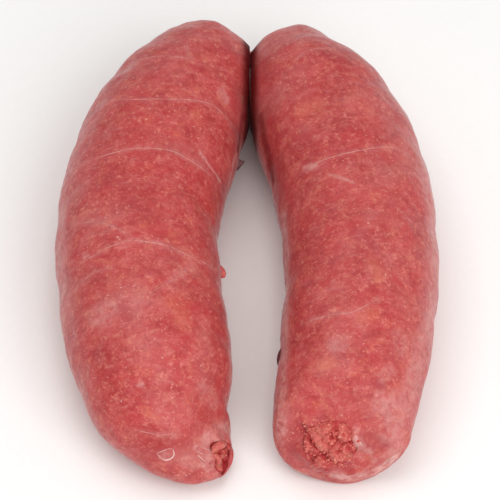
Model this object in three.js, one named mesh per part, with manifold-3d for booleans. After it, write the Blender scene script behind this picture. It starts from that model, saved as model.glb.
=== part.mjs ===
// A string of two raw sausage links. One length of casing holds both of them: it is cut open at the
// two near ends, where the ground meat shows, and twisted shut between the two far ends. The string
// lies folded at that twist, so the links lean together and press flat on each other at the far end.
// Millimetres, +Z up. The open mouths are at -Y, the twist is at +Y, and the table is the plane Z = 0.
import * as THREE from "three";
import Module from "manifold-3d";
import { mergeVertices } from "three/addons/utils/BufferGeometryUtils.js";

const wasm = await Module();
wasm.setup();

const CASING_WALL = 0.6; // real gut is about 0.1 mm, drawn thicker so that the sleeve holds as a solid
const FILLING_GAP = 0.5; // between the casing and the meat in it
const LIP_GAP = 0.6; // the same at the mouth, where the crumbled face of the meat begins
const CONTACT_GAP = 0.3; // between the two links where they press on each other
const CONTACT_ROUNDING = 1.2; // at the edge of the patch where they press
const WAIST_DEPTH = 0.4; // how far the tight rings of the casing draw a link in
const WAIST_WIDTH = 3.5; // half the length of casing that such a ring draws in
const TAG_FLATNESS = 0.45; // thickness of a loose shred of casing, as a share of its width

// Lengths along a link in stations: 0 is its mouth, 1 its second station, and so on to the pole.
const POCKET_END = 0.35; // how far short of the pole the pocket for the meat ends
const MEAT_STOP = 0.06; // how far short of the pocket's end the meat ends
const LAST_STEP = 0.3; // the least length between the last two rings of the pocket
const FOLDS_END = 3.2; // where the folds of the mouth have died away

// How finely the surfaces are drawn.
const AROUND = 32;
const OUTER_RINGS = 34;
const END_CROWDING = 0.11; // how much closer together the rings lie at the two ends of a link
const FACE_RINGS = 9; // on the crumbled face of the meat
const TAG_SIDES = 7;
const TAG_RINGS = 3;
const SPINE_STEPS = 200;
const MERGE_DISTANCE = 1e-4;

// Each link is drawn from its mouth to its far pole. A station gives the middle of a section in plan,
// its height, its half width and half height, how many degrees the link runs to the left of +Y there,
// and how many degrees the top of the section leans towards the far end.
const LEFT_LINK = {
  inner: -1,
  stations: [
    { at: [-6.9, -50.6], height: 6.5, wide: 3.4, tall: 4.2, turn: 62, lean: 25 },
    { at: [-9.8, -49.4], height: 8.7, wide: 8.4, tall: 8.4, turn: 54, lean: 14 },
    { at: [-14.4, -47], height: 11, wide: 11.8, tall: 11.2, turn: 38, lean: 5 },
    { at: [-19.3, -39], height: 14.6, wide: 16.8, tall: 14.9, turn: 21, lean: 0 },
    { at: [-23.9, -19], height: 16.2, wide: 18.5, tall: 17, turn: 9, lean: 0 },
    { at: [-25.8, 5], height: 16.8, wide: 18.7, tall: 17.6, turn: -2, lean: 0 },
    { at: [-21.9, 28], height: 16.4, wide: 19.2, tall: 17.2, turn: -13, lean: 0 },
    { at: [-16, 44.8], height: 15.8, wide: 17.4, tall: 16.4, turn: -24, lean: 0 },
    { at: [-9.8, 55.4], height: 14.4, wide: 14.8, tall: 14.6, turn: -31, lean: 0 },
    { at: [-5.9, 61.8], height: 12, wide: 11.2, tall: 12, turn: -36, lean: 0 },
    { at: [-3.8, 64.8], height: 8.6, wide: 2.6, tall: 2.6, turn: -40, lean: 0 },
  ],
  waists: [
    { along: 24, skew: 3, turn: 0.3 },
    { along: 46, skew: 4, turn: 2.6 },
    { along: 62, skew: 5, turn: 0.2 },
    { along: 81, skew: 3, turn: 1.9 },
    { along: 98, skew: 4, turn: 0.6 },
    { along: 112, skew: 3, turn: 2.4 },
  ],
  pleats: { count: 3, depth: 0.09, turn: 0.9, reach: 2.2 },
  rag: {
    reach: 0.7,
    waves: [[2, 0.5, 0.4], [5, 0.3, 2.2]],
    flap: { turn: 2.5, spread: 0.5, length: 1.2 },
  },
  meat: { dome: 0.8, lumps: 6, size: [1, 1.5], seed: 11 },
  tags: [
    { t: 6.05, angle: 0.05, length: 3, width: 3, droop: 1 },
    { t: 4.35, angle: 0.05, length: 1.8, width: 3, droop: 0 },
  ],
};
const RIGHT_LINK = {
  inner: 1,
  stations: [
    { at: [17.1, -51.9], height: 14, wide: 5.8, tall: 6, turn: -2, lean: 20 },
    { at: [19.1, -50.2], height: 12, wide: 13.4, tall: 12.3, turn: -4, lean: 15 },
    { at: [20.2, -45.2], height: 13.6, wide: 15.3, tall: 14.2, turn: -8, lean: 6 },
    { at: [23.4, -28], height: 15.8, wide: 16.8, tall: 16.4, turn: -8, lean: 0 },
    { at: [25.3, -5], height: 16.6, wide: 17.6, tall: 17.4, turn: 0, lean: 0 },
    { at: [23.1, 20], height: 16.4, wide: 18.4, tall: 17.2, turn: 10, lean: 0 },
    { at: [16.7, 40.8], height: 16, wide: 17.4, tall: 16.8, turn: 21, lean: 0 },
    { at: [9.6, 53.4], height: 14.6, wide: 13.9, tall: 15, turn: 29, lean: 0 },
    { at: [6.2, 60.6], height: 12, wide: 11, tall: 11.8, turn: 34, lean: 0 },
    { at: [3.8, 63.8], height: 8.6, wide: 2.6, tall: 2.6, turn: 38, lean: 0 },
  ],
  waists: [
    { along: 20, skew: 3, turn: 2.8 },
    { along: 37, skew: 4, turn: 0.5 },
    { along: 58, skew: 5, turn: 2.9 },
    { along: 76, skew: 4, turn: 0.4 },
    { along: 96, skew: 4, turn: 2.5 },
    { along: 110, skew: 3, turn: 0.9 },
  ],
  pleats: { count: 5, depth: 0.04, turn: 0.4, reach: 2.4 },
  rag: {
    reach: 0.8,
    waves: [[3, 0.25, 1.2], [6, 0.15, 0.3]],
    flap: { turn: 5.75, spread: 0.5, length: 0.8 },
  },
  meat: { dome: 1.8, lumps: 12, size: [1.3, 2.1], seed: 5 },
  tags: [
    { t: 4.6, angle: 3.1, length: 1.6, width: 2, droop: 0.4 },
    { t: 2.72, angle: 3.1, length: 1.6, width: 3.6, droop: 0 },
  ],
};
const TWIST = { lobes: 3, turns: 1.25, bulge: 0.8, waist: 0.7, relief: 0.2, rings: 15 };
const GATHER = { pleats: 7, depth: 0.05, reach: 2.2 }; // the small pleats that run into the twist
const CRAG = { rim: 0.35, lowest: 0.5 }; // how much of the dome is left at its rim, and of a low crumb

const UP = new THREE.Vector3(0, 0, 1);
const GOLDEN_ANGLE = Math.PI * (3 - Math.sqrt(5));
const smooth = (x) => THREE.MathUtils.smoothstep(x, 0, 1);
const turnBetween = (a, b) => Math.atan2(Math.sin(a - b), Math.cos(a - b));

// A row of even random numbers from 0 to 1, the same for the same seed.
function seededRandom(seed) {
  let state = seed;
  return () => {
    state = (state * 48271) % 2147483647;
    return state / 2147483647;
  };
}

// The spine of a link: its middle line, half sizes and angles, all smooth through the stations.
function makeSpine(link) {
  const through = (triple) =>
    new THREE.CatmullRomCurve3(link.stations.map(triple), false, "catmullrom", 0.5);
  const middle = through((s) => new THREE.Vector3(...s.at, s.height));
  const sizes = through((s) => new THREE.Vector3(s.wide, s.tall, 0));
  const angles = through((s) => new THREE.Vector3(s.turn, s.lean, 0));
  const last = link.stations.length - 1;
  const lengths = [0];
  for (let i = 1; i <= SPINE_STEPS; i++) {
    const from = middle.getPoint((i - 1) / SPINE_STEPS);
    lengths.push(lengths[i - 1] + from.distanceTo(middle.getPoint(i / SPINE_STEPS)));
  }
  const share = (t) => THREE.MathUtils.clamp(t / last, 0, 1);
  const along = (t) => {
    const x = share(t) * SPINE_STEPS;
    const i = Math.min(Math.floor(x), SPINE_STEPS - 1);
    return THREE.MathUtils.lerp(lengths[i], lengths[i + 1], x - i);
  };
  return { middle, sizes, angles, last, share, along };
}

// How the casing departs from its plain oval at a place, as a share of its size: its tight rings, and
// its pleats at the mouth and the pole.
function swelling(link, spine, t, angle) {
  const here = spine.along(t);
  const inward = link.waists.reduce((sum, waist) => {
    const off = here - waist.along - waist.skew * Math.sin(angle - waist.turn);
    return sum + WAIST_DEPTH * Math.exp(-((off / WAIST_WIDTH) ** 2));
  }, 0);
  const size = spine.sizes.getPoint(spine.share(t));
  const nearMouth = 1 - smooth(t / link.pleats.reach);
  const nearPole = 1 - smooth((spine.last - t) / GATHER.reach);
  const { count, depth, turn } = link.pleats;
  const mouthPleats = depth * nearMouth * Math.cos(count * angle + turn);
  const polePleats = GATHER.depth * nearPole * Math.cos(GATHER.pleats * angle);
  return 1 - inward / size.x + mouthPleats + polePleats;
}

// How far the torn edge of the casing reaches out past its plain cut. It never falls short of the cut.
function ragged(link, t, angle) {
  const { waves, flap, reach } = link.rag;
  const tears = waves.reduce(
    (sum, [count, depth, turn]) => sum + depth * (1 + Math.sin(count * angle + turn)),
    0,
  );
  const tongue = flap.length * Math.exp(-((turnBetween(angle, flap.turn) / flap.spread) ** 2));
  return (tears + tongue) * (1 - smooth(t / reach));
}

// The three directions of a section: along the link, across it, and up in its own plane.
function sectionAt(spine, t) {
  const { x: turn, y: lean } = spine.angles.getPoint(spine.share(t));
  const along = new THREE.Vector3(0, 1, 0).applyAxisAngle(UP, THREE.MathUtils.degToRad(turn));
  const side = along.clone().cross(UP);
  const rise = UP.clone().applyAxisAngle(side, -THREE.MathUtils.degToRad(lean));
  return { along: along.applyAxisAngle(side, -THREE.MathUtils.degToRad(lean)), side, rise };
}

// A point of the casing's outside, before the table and the other link press on it.
function casingPoint(link, spine, t, angle) {
  const size = spine.sizes.getPoint(spine.share(t));
  const { along, side, rise } = sectionAt(spine, t);
  const swell = swelling(link, spine, t, angle);
  return spine.middle
    .getPoint(spine.share(t))
    .addScaledVector(side, size.x * swell * Math.cos(angle))
    .addScaledVector(rise, size.y * swell * Math.sin(angle))
    .addScaledVector(along, -ragged(link, t, angle));
}

// The same point set in by a depth, and pressed flat on the table and against the other link.
function pressedPoint(link, spine, t, angle, depth) {
  const step = Math.PI / AROUND;
  const before = Math.max(t - step, 0);
  const after = Math.min(t + step, spine.last);
  const lengthwise = casingPoint(link, spine, after, angle).sub(casingPoint(link, spine, before, angle));
  const around = casingPoint(link, spine, t, angle + step).sub(casingPoint(link, spine, t, angle - step));
  const outward = lengthwise.cross(around).normalize();
  const point = casingPoint(link, spine, t, angle).addScaledVector(outward, -depth);
  point.z = Math.max(point.z, depth);
  const nearest = CONTACT_GAP / 2 + depth;
  const beyond = link.inner * point.x - nearest;
  point.x = link.inner * (nearest + (beyond + Math.hypot(beyond, CONTACT_ROUNDING)) / 2);
  return point;
}

// One ring of a link. The right link is drawn from its pole to its mouth, so its rings run the
// other way round.
function linkRing(link, spine, t, depth) {
  return Array.from({ length: AROUND }, (_, i) => {
    const angle = (i / AROUND) * 2 * Math.PI;
    return pressedPoint(link, spine, t, link.inner > 0 ? Math.PI - angle : angle, depth);
  });
}

// Places along the outside of a link: closer together near its two ends, where the form turns quickly.
function outerStops(spine) {
  return Array.from({ length: OUTER_RINGS }, (_, i) => {
    const x = i / (OUTER_RINGS - 1);
    return spine.last * (x - END_CROWDING * Math.sin(2 * Math.PI * x));
  });
}

// Places along the inside: the same ones through the folds at the mouth, and every second one after them.
function innerStops(spine, end) {
  const kept = outerStops(spine).filter((t, i) => t < end - LAST_STEP && (t < FOLDS_END || i % 2 === 0));
  return [...kept, end];
}

// The twist: a short rope of bare casing between the two poles, with its folds wound round it.
function twistRings(from, to) {
  return Array.from({ length: TWIST.rings }, (_, k) => {
    const x = (k + 1) / (TWIST.rings + 1);
    const swing = Math.sin(Math.PI * x);
    const middle = from.middle.clone().lerp(to.middle, x);
    middle.y += TWIST.bulge * swing;
    const climb = TWIST.bulge * Math.PI * Math.cos(Math.PI * x);
    const heading = new THREE.Vector3(to.middle.x - from.middle.x, climb, 0).normalize();
    const side = new THREE.Vector3(heading.y, -heading.x, 0);
    const radius = THREE.MathUtils.lerp(from.radius, to.radius, x) - TWIST.waist * swing;
    return Array.from({ length: AROUND }, (_, i) => {
      const angle = (i / AROUND) * 2 * Math.PI;
      const wound = TWIST.lobes * (angle - TWIST.turns * 2 * Math.PI * x);
      const r = radius * (1 + TWIST.relief * Math.sqrt(swing) * Math.cos(wound));
      return middle
        .clone()
        .addScaledVector(side, r * Math.cos(angle))
        .addScaledVector(UP, r * Math.sin(angle));
    });
  });
}

function middleOf(ring) {
  return ring.reduce((sum, p) => sum.add(p), new THREE.Vector3()).divideScalar(ring.length);
}

// A closed skin over a row of rings, with a point at each end.
function skin(rings) {
  const points = [...rings.flat(), middleOf(rings[0]), middleOf(rings.at(-1))];
  const first = rings.length * AROUND;
  const faces = [];
  for (let j = 0; j < AROUND; j++) {
    const next = (j + 1) % AROUND;
    for (let i = 0; i + 1 < rings.length; i++) {
      const a = i * AROUND + j;
      const b = i * AROUND + next;
      faces.push(a, a + AROUND, b, b, a + AROUND, b + AROUND);
    }
    const end = (rings.length - 1) * AROUND;
    faces.push(first, j, next, first + 1, end + next, end + j);
  }
  const geometry = new THREE.BufferGeometry().setFromPoints(points);
  geometry.setIndex(faces);
  return geometry;
}

function solidOf(geometry) {
  const bare = geometry.clone();
  bare.deleteAttribute("normal");
  bare.deleteAttribute("uv");
  const merged = mergeVertices(bare, MERGE_DISTANCE);
  return new wasm.Manifold(
    new wasm.Mesh({
      numProp: 3,
      vertProperties: merged.attributes.position.array,
      triVerts: new Uint32Array(merged.index.array),
    }),
  );
}

function geometryOf(solid) {
  const mesh = solid.getMesh();
  const geometry = new THREE.BufferGeometry();
  geometry.setAttribute("position", new THREE.BufferAttribute(mesh.vertProperties, 3));
  geometry.setIndex(new THREE.BufferAttribute(mesh.triVerts, 1));
  geometry.computeVertexNormals();
  return geometry;
}

const left = makeSpine(LEFT_LINK);
const right = makeSpine(RIGHT_LINK);

// The inside of the casing, or with a gap the meat in it. The wall is a little thicker away from the
// mouth, where the tight rings draw it in.
function pocketRings(link, spine, gap) {
  return innerStops(spine, spine.last - POCKET_END - (gap > 0 ? MEAT_STOP : 0)).map((t) => {
    const wall = CASING_WALL + WAIST_DEPTH * smooth(t);
    return linkRing(link, spine, t, wall + gap);
  });
}

function outerRings(link, spine) {
  return outerStops(spine).map((t) => linkRing(link, spine, t, 0));
}

function poleOf(link) {
  const station = link.stations.at(-1);
  return { middle: new THREE.Vector3(...station.at, station.height), radius: station.wide };
}

// A shred of casing that stands out from the skin, as a small bent spike with its foot in the wall.
function tag(link, spine, { t, angle, length, width, droop }) {
  const foot = pressedPoint(link, spine, t, angle, CASING_WALL / 2);
  const out = pressedPoint(link, spine, t, angle, 0).sub(foot).normalize();
  const spike = new THREE.ConeGeometry(width / 2, length, TAG_SIDES, TAG_RINGS);
  spike.scale(1, 1, TAG_FLATNESS);
  spike.translate(0, length / 2, 0);
  const place = spike.attributes.position;
  for (let i = 0; i < place.count; i++) {
    const bent = droop * (place.getY(i) / length) ** 2;
    place.setX(i, place.getX(i) + bent);
  }
  spike.applyQuaternion(new THREE.Quaternion().setFromUnitVectors(new THREE.Vector3(0, 1, 0), out));
  spike.translate(foot.x, foot.y, foot.z);
  return solidOf(spike);
}

function makeCasing() {
  const sleeve = skin([
    ...pocketRings(LEFT_LINK, left, 0).reverse(),
    ...outerRings(LEFT_LINK, left),
    ...twistRings(poleOf(LEFT_LINK), poleOf(RIGHT_LINK)),
    ...outerRings(RIGHT_LINK, right).reverse(),
    ...pocketRings(RIGHT_LINK, right, 0),
  ]);
  const tags = [
    ...LEFT_LINK.tags.map((shred) => tag(LEFT_LINK, left, shred)),
    ...RIGHT_LINK.tags.map((shred) => tag(RIGHT_LINK, right, shred)),
  ];
  return geometryOf(tags.reduce((whole, shred) => whole.add(shred), solidOf(sleeve)));
}

// The crumbled face of the meat: how far it stands out at a place in the plane of the mouth.
function makeCrags({ dome, lumps, size, seed }, radius) {
  const random = seededRandom(seed);
  const crumbs = Array.from({ length: lumps }, (_, i) => {
    const reach = radius * Math.sqrt((i + 0.5) / lumps);
    const turn = i * GOLDEN_ANGLE + random();
    const place = new THREE.Vector2(reach * Math.cos(turn), reach * Math.sin(turn));
    return { place, radius: THREE.MathUtils.lerp(size[0], size[1], random()), rise: random() };
  });
  return (spot) => {
    const share = Math.min(spot.length() / radius, 1);
    const crumbled = crumbs.reduce((most, crumb) => {
      const inside = crumb.radius ** 2 - spot.distanceToSquared(crumb.place);
      const height = THREE.MathUtils.lerp(CRAG.lowest, 1, crumb.rise);
      return Math.max(most, inside > 0 ? Math.sqrt(inside) * height : 0);
    }, 0);
    const bulge = THREE.MathUtils.lerp(CRAG.rim, 1, Math.sqrt(1 - share * share));
    return dome * bulge + crumbled - size[0] / 2;
  };
}

// The ground meat of one link: it fills the casing and swells out of the mouth.
function makeFilling(link, spine) {
  const core = pocketRings(link, spine, FILLING_GAP);
  const rim = core[0];
  const centre = middleOf(rim);
  const { along, side, rise } = sectionAt(spine, 0);
  const radius = link.stations[0].wide;
  const crag = makeCrags(link.meat, radius);
  const reach = 1 - LIP_GAP / Math.min(radius, link.stations[0].tall);
  const neck = rim.map((p) => centre.clone().lerp(p, reach));
  const face = Array.from({ length: FACE_RINGS }, (_, k) => {
    const share = reach * ((k + 1) / FACE_RINGS);
    return rim.map((p) => {
      const place = centre.clone().lerp(p, share);
      const from = place.clone().sub(centre);
      const spot = new THREE.Vector2(from.dot(side), from.dot(rise));
      return place.addScaledVector(along, -crag(spot));
    });
  });
  const rings = [...face, neck, ...core];
  return skin(link.inner < 0 ? rings : rings.reverse());
}

const casingSkin = new THREE.MeshStandardMaterial({ color: "#c0605c", roughness: 0.45, metalness: 0 });
const groundMeat = new THREE.MeshStandardMaterial({ color: "#bd4a42", roughness: 0.6, metalness: 0 });

const string = new THREE.Group();
const pieces = [
  ["casing", makeCasing(), casingSkin],
  ["filling_left", makeFilling(LEFT_LINK, left), groundMeat],
  ["filling_right", makeFilling(RIGHT_LINK, right), groundMeat],
];
for (const [name, geometry, material] of pieces) {
  const piece = new THREE.Mesh(geometry, material);
  piece.name = name;
  string.add(piece);
}

// The string stands with its box centred on the origin and its belly on the table.
const box = new THREE.Box3().setFromObject(string);
string.position.set(-(box.min.x + box.max.x) / 2, -(box.min.y + box.max.y) / 2, -box.min.z);
const group = new THREE.Group();
group.add(string);

export default group;
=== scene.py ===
# %% [markdown]
# # A pair of raw sausage links
# Two raw, coarse-ground sausages lie side by side. One length of natural gut holds both of them. It is
# twisted shut between their far ends and cut open at the near ends, where the ground meat shows.
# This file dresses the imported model: it lays a fine skin, crumbled meat, gut strands, folds and shreds
# in the place of the plain solids, and it gives each of them a finish worked out by nodes.

# %% Load the frame
import math

import bpy
import numpy as np
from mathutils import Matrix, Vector
from mathutils.bvhtree import BVHTree


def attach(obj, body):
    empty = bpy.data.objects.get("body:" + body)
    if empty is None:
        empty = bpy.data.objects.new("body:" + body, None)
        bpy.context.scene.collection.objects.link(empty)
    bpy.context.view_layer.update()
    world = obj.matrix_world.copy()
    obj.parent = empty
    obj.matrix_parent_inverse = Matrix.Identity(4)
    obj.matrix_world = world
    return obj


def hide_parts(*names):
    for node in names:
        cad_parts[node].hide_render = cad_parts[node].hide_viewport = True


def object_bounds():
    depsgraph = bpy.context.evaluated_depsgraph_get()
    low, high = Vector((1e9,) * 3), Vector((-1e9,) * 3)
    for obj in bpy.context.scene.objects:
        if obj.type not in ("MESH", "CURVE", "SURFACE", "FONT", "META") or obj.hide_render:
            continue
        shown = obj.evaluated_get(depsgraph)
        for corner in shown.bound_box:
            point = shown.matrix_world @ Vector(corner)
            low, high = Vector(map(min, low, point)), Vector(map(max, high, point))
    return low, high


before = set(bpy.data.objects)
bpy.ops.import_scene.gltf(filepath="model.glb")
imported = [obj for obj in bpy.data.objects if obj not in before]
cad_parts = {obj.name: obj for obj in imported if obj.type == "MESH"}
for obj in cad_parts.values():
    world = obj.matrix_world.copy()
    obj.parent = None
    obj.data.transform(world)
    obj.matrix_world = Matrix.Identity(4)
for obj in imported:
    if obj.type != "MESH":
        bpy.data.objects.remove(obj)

CAD_LOW, CAD_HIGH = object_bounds()
MM = 0.001
print("nodes", sorted(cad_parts), "box in mm", [round(v / MM, 1) for v in CAD_HIGH - CAD_LOW])

# %% [markdown]
# ## The form of a link
# A link is a soft tube that bends. Its middle line, its size and the way that its sections lean are
# given at a few stations, and a smooth curve runs through them. These are the stations of the solid
# model, in millimetres, so that the skin lands on it. Each row holds the middle in plan, the height,
# the half width and half height, the degrees that the link runs to the left of +Y, and the degrees
# that the top of the section leans towards the far end. A waist is a place where the gut draws the
# link in: how far it is from the mouth, how much it slants and which way.

# %% Stations of the two links
LEFT = {
    "name": "left",
    "inner": -1,
    "stations": [
        (-6.9, -50.6, 6.5, 3.4, 4.2, 62, 25),
        (-9.8, -49.4, 8.7, 8.4, 8.4, 54, 14),
        (-14.4, -47, 11, 11.8, 11.2, 38, 5),
        (-19.3, -39, 14.6, 16.8, 14.9, 21, 0),
        (-23.9, -19, 16.2, 18.5, 17, 9, 0),
        (-25.8, 5, 16.8, 18.7, 17.6, -2, 0),
        (-21.9, 28, 16.4, 19.2, 17.2, -13, 0),
        (-16, 44.8, 15.8, 17.4, 16.4, -24, 0),
        (-9.8, 55.4, 14.4, 14.8, 14.6, -31, 0),
        (-5.9, 61.8, 12, 11.2, 12, -36, 0),
        (-3.8, 64.8, 8.6, 2.6, 2.6, -40, 0),
    ],
    "waists": [(24, 3, 0.3), (46, 4, 2.6), (62, 5, 0.2), (81, 3, 1.9), (98, 4, 0.6), (112, 3, 2.4)],
    "pleats": {"count": 3, "depth": 0.09, "turn": 0.9, "reach": 2.2},
    "rag": {"reach": 0.7, "waves": [(2, 0.5, 0.4), (5, 0.3, 2.2)], "flap": (2.5, 0.5, 1.2)},
    "meat": {"dome": 0.8, "lumps": 6, "size": (1, 1.5), "seed": 11, "crumbs": 30},
}
RIGHT = {
    "name": "right",
    "inner": 1,
    "stations": [
        (17.1, -51.9, 14, 5.8, 6, -2, 20),
        (19.1, -50.2, 12, 13.4, 12.3, -4, 15),
        (20.2, -45.2, 13.6, 15.3, 14.2, -8, 6),
        (23.4, -28, 15.8, 16.8, 16.4, -8, 0),
        (25.3, -5, 16.6, 17.6, 17.4, 0, 0),
        (23.1, 20, 16.4, 18.4, 17.2, 10, 0),
        (16.7, 40.8, 16, 17.4, 16.8, 21, 0),
        (9.6, 53.4, 14.6, 13.9, 15, 29, 0),
        (6.2, 60.6, 12, 11, 11.8, 34, 0),
        (3.8, 63.8, 8.6, 2.6, 2.6, 38, 0),
    ],
    "waists": [(20, 3, 2.8), (37, 4, 0.5), (58, 5, 2.9), (76, 4, 0.4), (96, 4, 2.5), (110, 3, 0.9)],
    "pleats": {"count": 5, "depth": 0.04, "turn": 0.4, "reach": 2.4},
    "rag": {"reach": 0.8, "waves": [(3, 0.25, 1.2), (6, 0.15, 0.3)], "flap": (5.75, 0.5, 0.8)},
    "meat": {"dome": 1.8, "lumps": 12, "size": (1.3, 2.1), "seed": 5, "crumbs": 420},
}
WAIST_DEPTH = 0.4
WAIST_WIDTH = 3.5  # half the length of a link that a waist draws in
GATHER = {"count": 7, "depth": 0.05, "reach": 2.2}  # the small pleats that run into the twist
TWIST = {"lobes": 3, "turns": 1.25, "bulge": 0.8, "waist": 0.7, "relief": 0.2}

# %% Smooth curves through the stations
SPINE_STEPS = 800


def ease(x):
    """Runs from 0 to 1 with a soft start and a soft end."""
    x = np.clip(x, 0, 1)
    return x * x * (3 - 2 * x)


def through(rows, t):
    """The smooth curve through rows that are one unit apart, at the places t."""
    rows = np.asarray(rows, float)
    padded = np.vstack([2 * rows[0] - rows[1], rows, 2 * rows[-1] - rows[-2]])
    start = np.clip(np.floor(t).astype(int), 0, len(rows) - 2)
    x = (t - start)[:, None]
    a, b, c, d = (padded[start + k] for k in range(4))
    bend = 2 * a - 5 * b + 4 * c - d
    return 0.5 * (2 * b + (c - a) * x + bend * x**2 + (3 * b - a - 3 * c + d) * x**3)


def measure_spine(link):
    """Keeps the length along a link's middle line, so that a place can be found by millimetres."""
    link["last"] = len(link["stations"]) - 1
    places = np.linspace(0, link["last"], SPINE_STEPS)
    row = through(link["stations"], places)
    steps = np.linalg.norm(np.diff(row[:, :3], axis=0), axis=1)
    skin_steps = np.hypot(steps, np.diff(row[:, 3]))
    link["places"] = places
    link["lengths"] = np.concatenate([[0], np.cumsum(steps)])
    link["skin_lengths"] = np.concatenate([[0], np.cumsum(skin_steps)])


def millimetres_along(link, t):
    """How far from the mouth a place is, as a column."""
    return np.interp(t, link["places"], link["lengths"])[:, None]


for link in (LEFT, RIGHT):
    measure_spine(link)
    print("the", link["name"], "link is", round(link["lengths"][-1], 1), "mm along its bend")

# %% The outside of a link
CONTACT_GAP = 0.02  # the two links touch, so only a hair is left between them
CONTACT_ROUNDING = 0.15  # how softly a link turns into the flat on which it touches the other
WALL_AROUND = 180  # points round a section
OUTWARD_STEP = math.pi / 32  # how far off the points lie that give a point's outward direction


def section_axes(row):
    """The directions along, across and up in sections, from rows of the stations' curve."""
    turn, lean = np.radians(row[:, 5]), np.radians(row[:, 6])
    level = np.stack([-np.sin(turn), np.cos(turn), 0 * turn], 1)
    side = np.stack([np.cos(turn), np.sin(turn), 0 * turn], 1)
    up = np.array([[0.0, 0.0, 1.0]])
    rise = up * np.cos(lean)[:, None] + level * np.sin(lean)[:, None]
    ahead = level * np.cos(lean)[:, None] - up * np.sin(lean)[:, None]
    return ahead, side, rise


def torn_length(link, t, angles):
    """How far the torn edge of the gut reaches out past its plain cut."""
    rag = link["rag"]
    tears = sum(depth * (1 + np.sin(count * angles + phase)) for count, depth, phase in rag["waves"])
    flap_turn, spread, length = rag["flap"]
    off = np.arctan2(np.sin(angles - flap_turn), np.cos(angles - flap_turn))
    tongue = length * np.exp(-((off / spread) ** 2))
    return (tears + tongue)[None, :] * (1 - ease(t / rag["reach"]))[:, None]


def casing_points(link, t, angles):
    """Points of a link's outside in mm, before the table and the other link press on it."""
    row = through(link["stations"], t)
    middle, wide, tall = row[:, :3], row[:, 3:4], row[:, 4:5]
    ahead, side, rise = section_axes(row)
    here = millimetres_along(link, t)
    angle = angles[None, :]
    inward = sum(
        WAIST_DEPTH * np.exp(-(((here - at - skew * np.sin(angle - phase)) / WAIST_WIDTH) ** 2))
        for at, skew, phase in link["waists"]
    )
    pleats = link["pleats"]
    near_mouth = 1 - ease(t / pleats["reach"])[:, None]
    near_pole = 1 - ease((link["last"] - t) / GATHER["reach"])[:, None]
    swell = 1 - inward / wide
    swell = swell + pleats["depth"] * near_mouth * np.cos(pleats["count"] * angle + pleats["turn"])
    swell = swell + GATHER["depth"] * near_pole * np.cos(GATHER["count"] * angle)
    torn = torn_length(link, t, angles)
    return (
        middle[:, None, :]
        + side[:, None, :] * (wide * swell * np.cos(angle))[:, :, None]
        + rise[:, None, :] * (tall * swell * np.sin(angle))[:, :, None]
        - ahead[:, None, :] * torn[:, :, None]
    )


def pressed_points(link, t, angles, depth):
    """The same points set in by a depth, and pressed on the table and on the other link."""
    after = casing_points(link, np.minimum(t + OUTWARD_STEP, link["last"]), angles)
    before = casing_points(link, np.maximum(t - OUTWARD_STEP, 0), angles)
    around = casing_points(link, t, angles + OUTWARD_STEP) - casing_points(link, t, angles - OUTWARD_STEP)
    outward = np.cross(after - before, around)
    outward /= np.linalg.norm(outward, axis=2, keepdims=True)
    depth = np.reshape(depth, (-1, 1))
    points = casing_points(link, t, angles) - outward * depth[:, :, None]
    points[:, :, 2] = np.maximum(points[:, :, 2], depth)
    nearest = CONTACT_GAP / 2 + depth
    beyond = link["inner"] * points[:, :, 0] - nearest
    points[:, :, 0] = link["inner"] * (nearest + (beyond + np.hypot(beyond, CONTACT_ROUNDING)) / 2)
    return points


def section_angles(link, count):
    """Angles round a section. The right link is drawn from its pole, so its rings run the other way."""
    angles = np.arange(count) / count * 2 * math.pi
    return math.pi - angles if link["inner"] > 0 else angles


# %% [markdown]
# ## One skin for both links
# The gut is a single thin tube, so it is built as one closed mesh. It starts deep in the pocket of the
# left link, comes out at the cut mouth, runs over the outside, through the twist and over the right
# link, and turns in again at the other mouth. Rings are close together at the mouths, where folds are
# small, and wider apart along the body.

# %% Rings along the skin
LIP_WALL = 0.14  # the gut at its cut edge
INNER_WALL = 1.4  # deeper in, where the inside can't be seen and the outside has dents
WALL_GROWS = 2.4  # over this much skin
FINE_RING = 0.3  # from ring to ring at both ends of a link
RING_SPREAD = 0.42  # and this much more along the body
FINE_AT_MOUTH = 14.0
FINE_AT_TWIST = 8.0
POCKET_RINGS = 22
POCKET_END = 0.35  # how many stations the pocket stops short of the twist
TWIST_RINGS = 44


def wall_at(link, t):
    """How thick the skin is drawn at a place."""
    from_lip = np.interp(t, link["places"], link["skin_lengths"])
    return LIP_WALL + (INNER_WALL - LIP_WALL) * ease(from_lip / WALL_GROWS)


def ring_places(link):
    """Places of the rings along a link, close together near its two ends."""
    total = link["skin_lengths"][-1]
    spots = [0.0]
    while spots[-1] < total:
        here = spots[-1]
        from_ends = min(here / FINE_AT_MOUTH, (total - here) / FINE_AT_TWIST, 1)
        spots.append(here + FINE_RING + RING_SPREAD * float(ease(np.array(from_ends))))
    spots = np.array(spots) * total / spots[-1]
    return np.interp(spots, link["skin_lengths"], link["places"])


def pocket_places(link):
    """A few rings inside the gut, crowded at the mouth, where the inside of the wall may show."""
    x = np.linspace(0, 1, POCKET_RINGS)
    return (link["last"] - POCKET_END) * x**2


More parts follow.
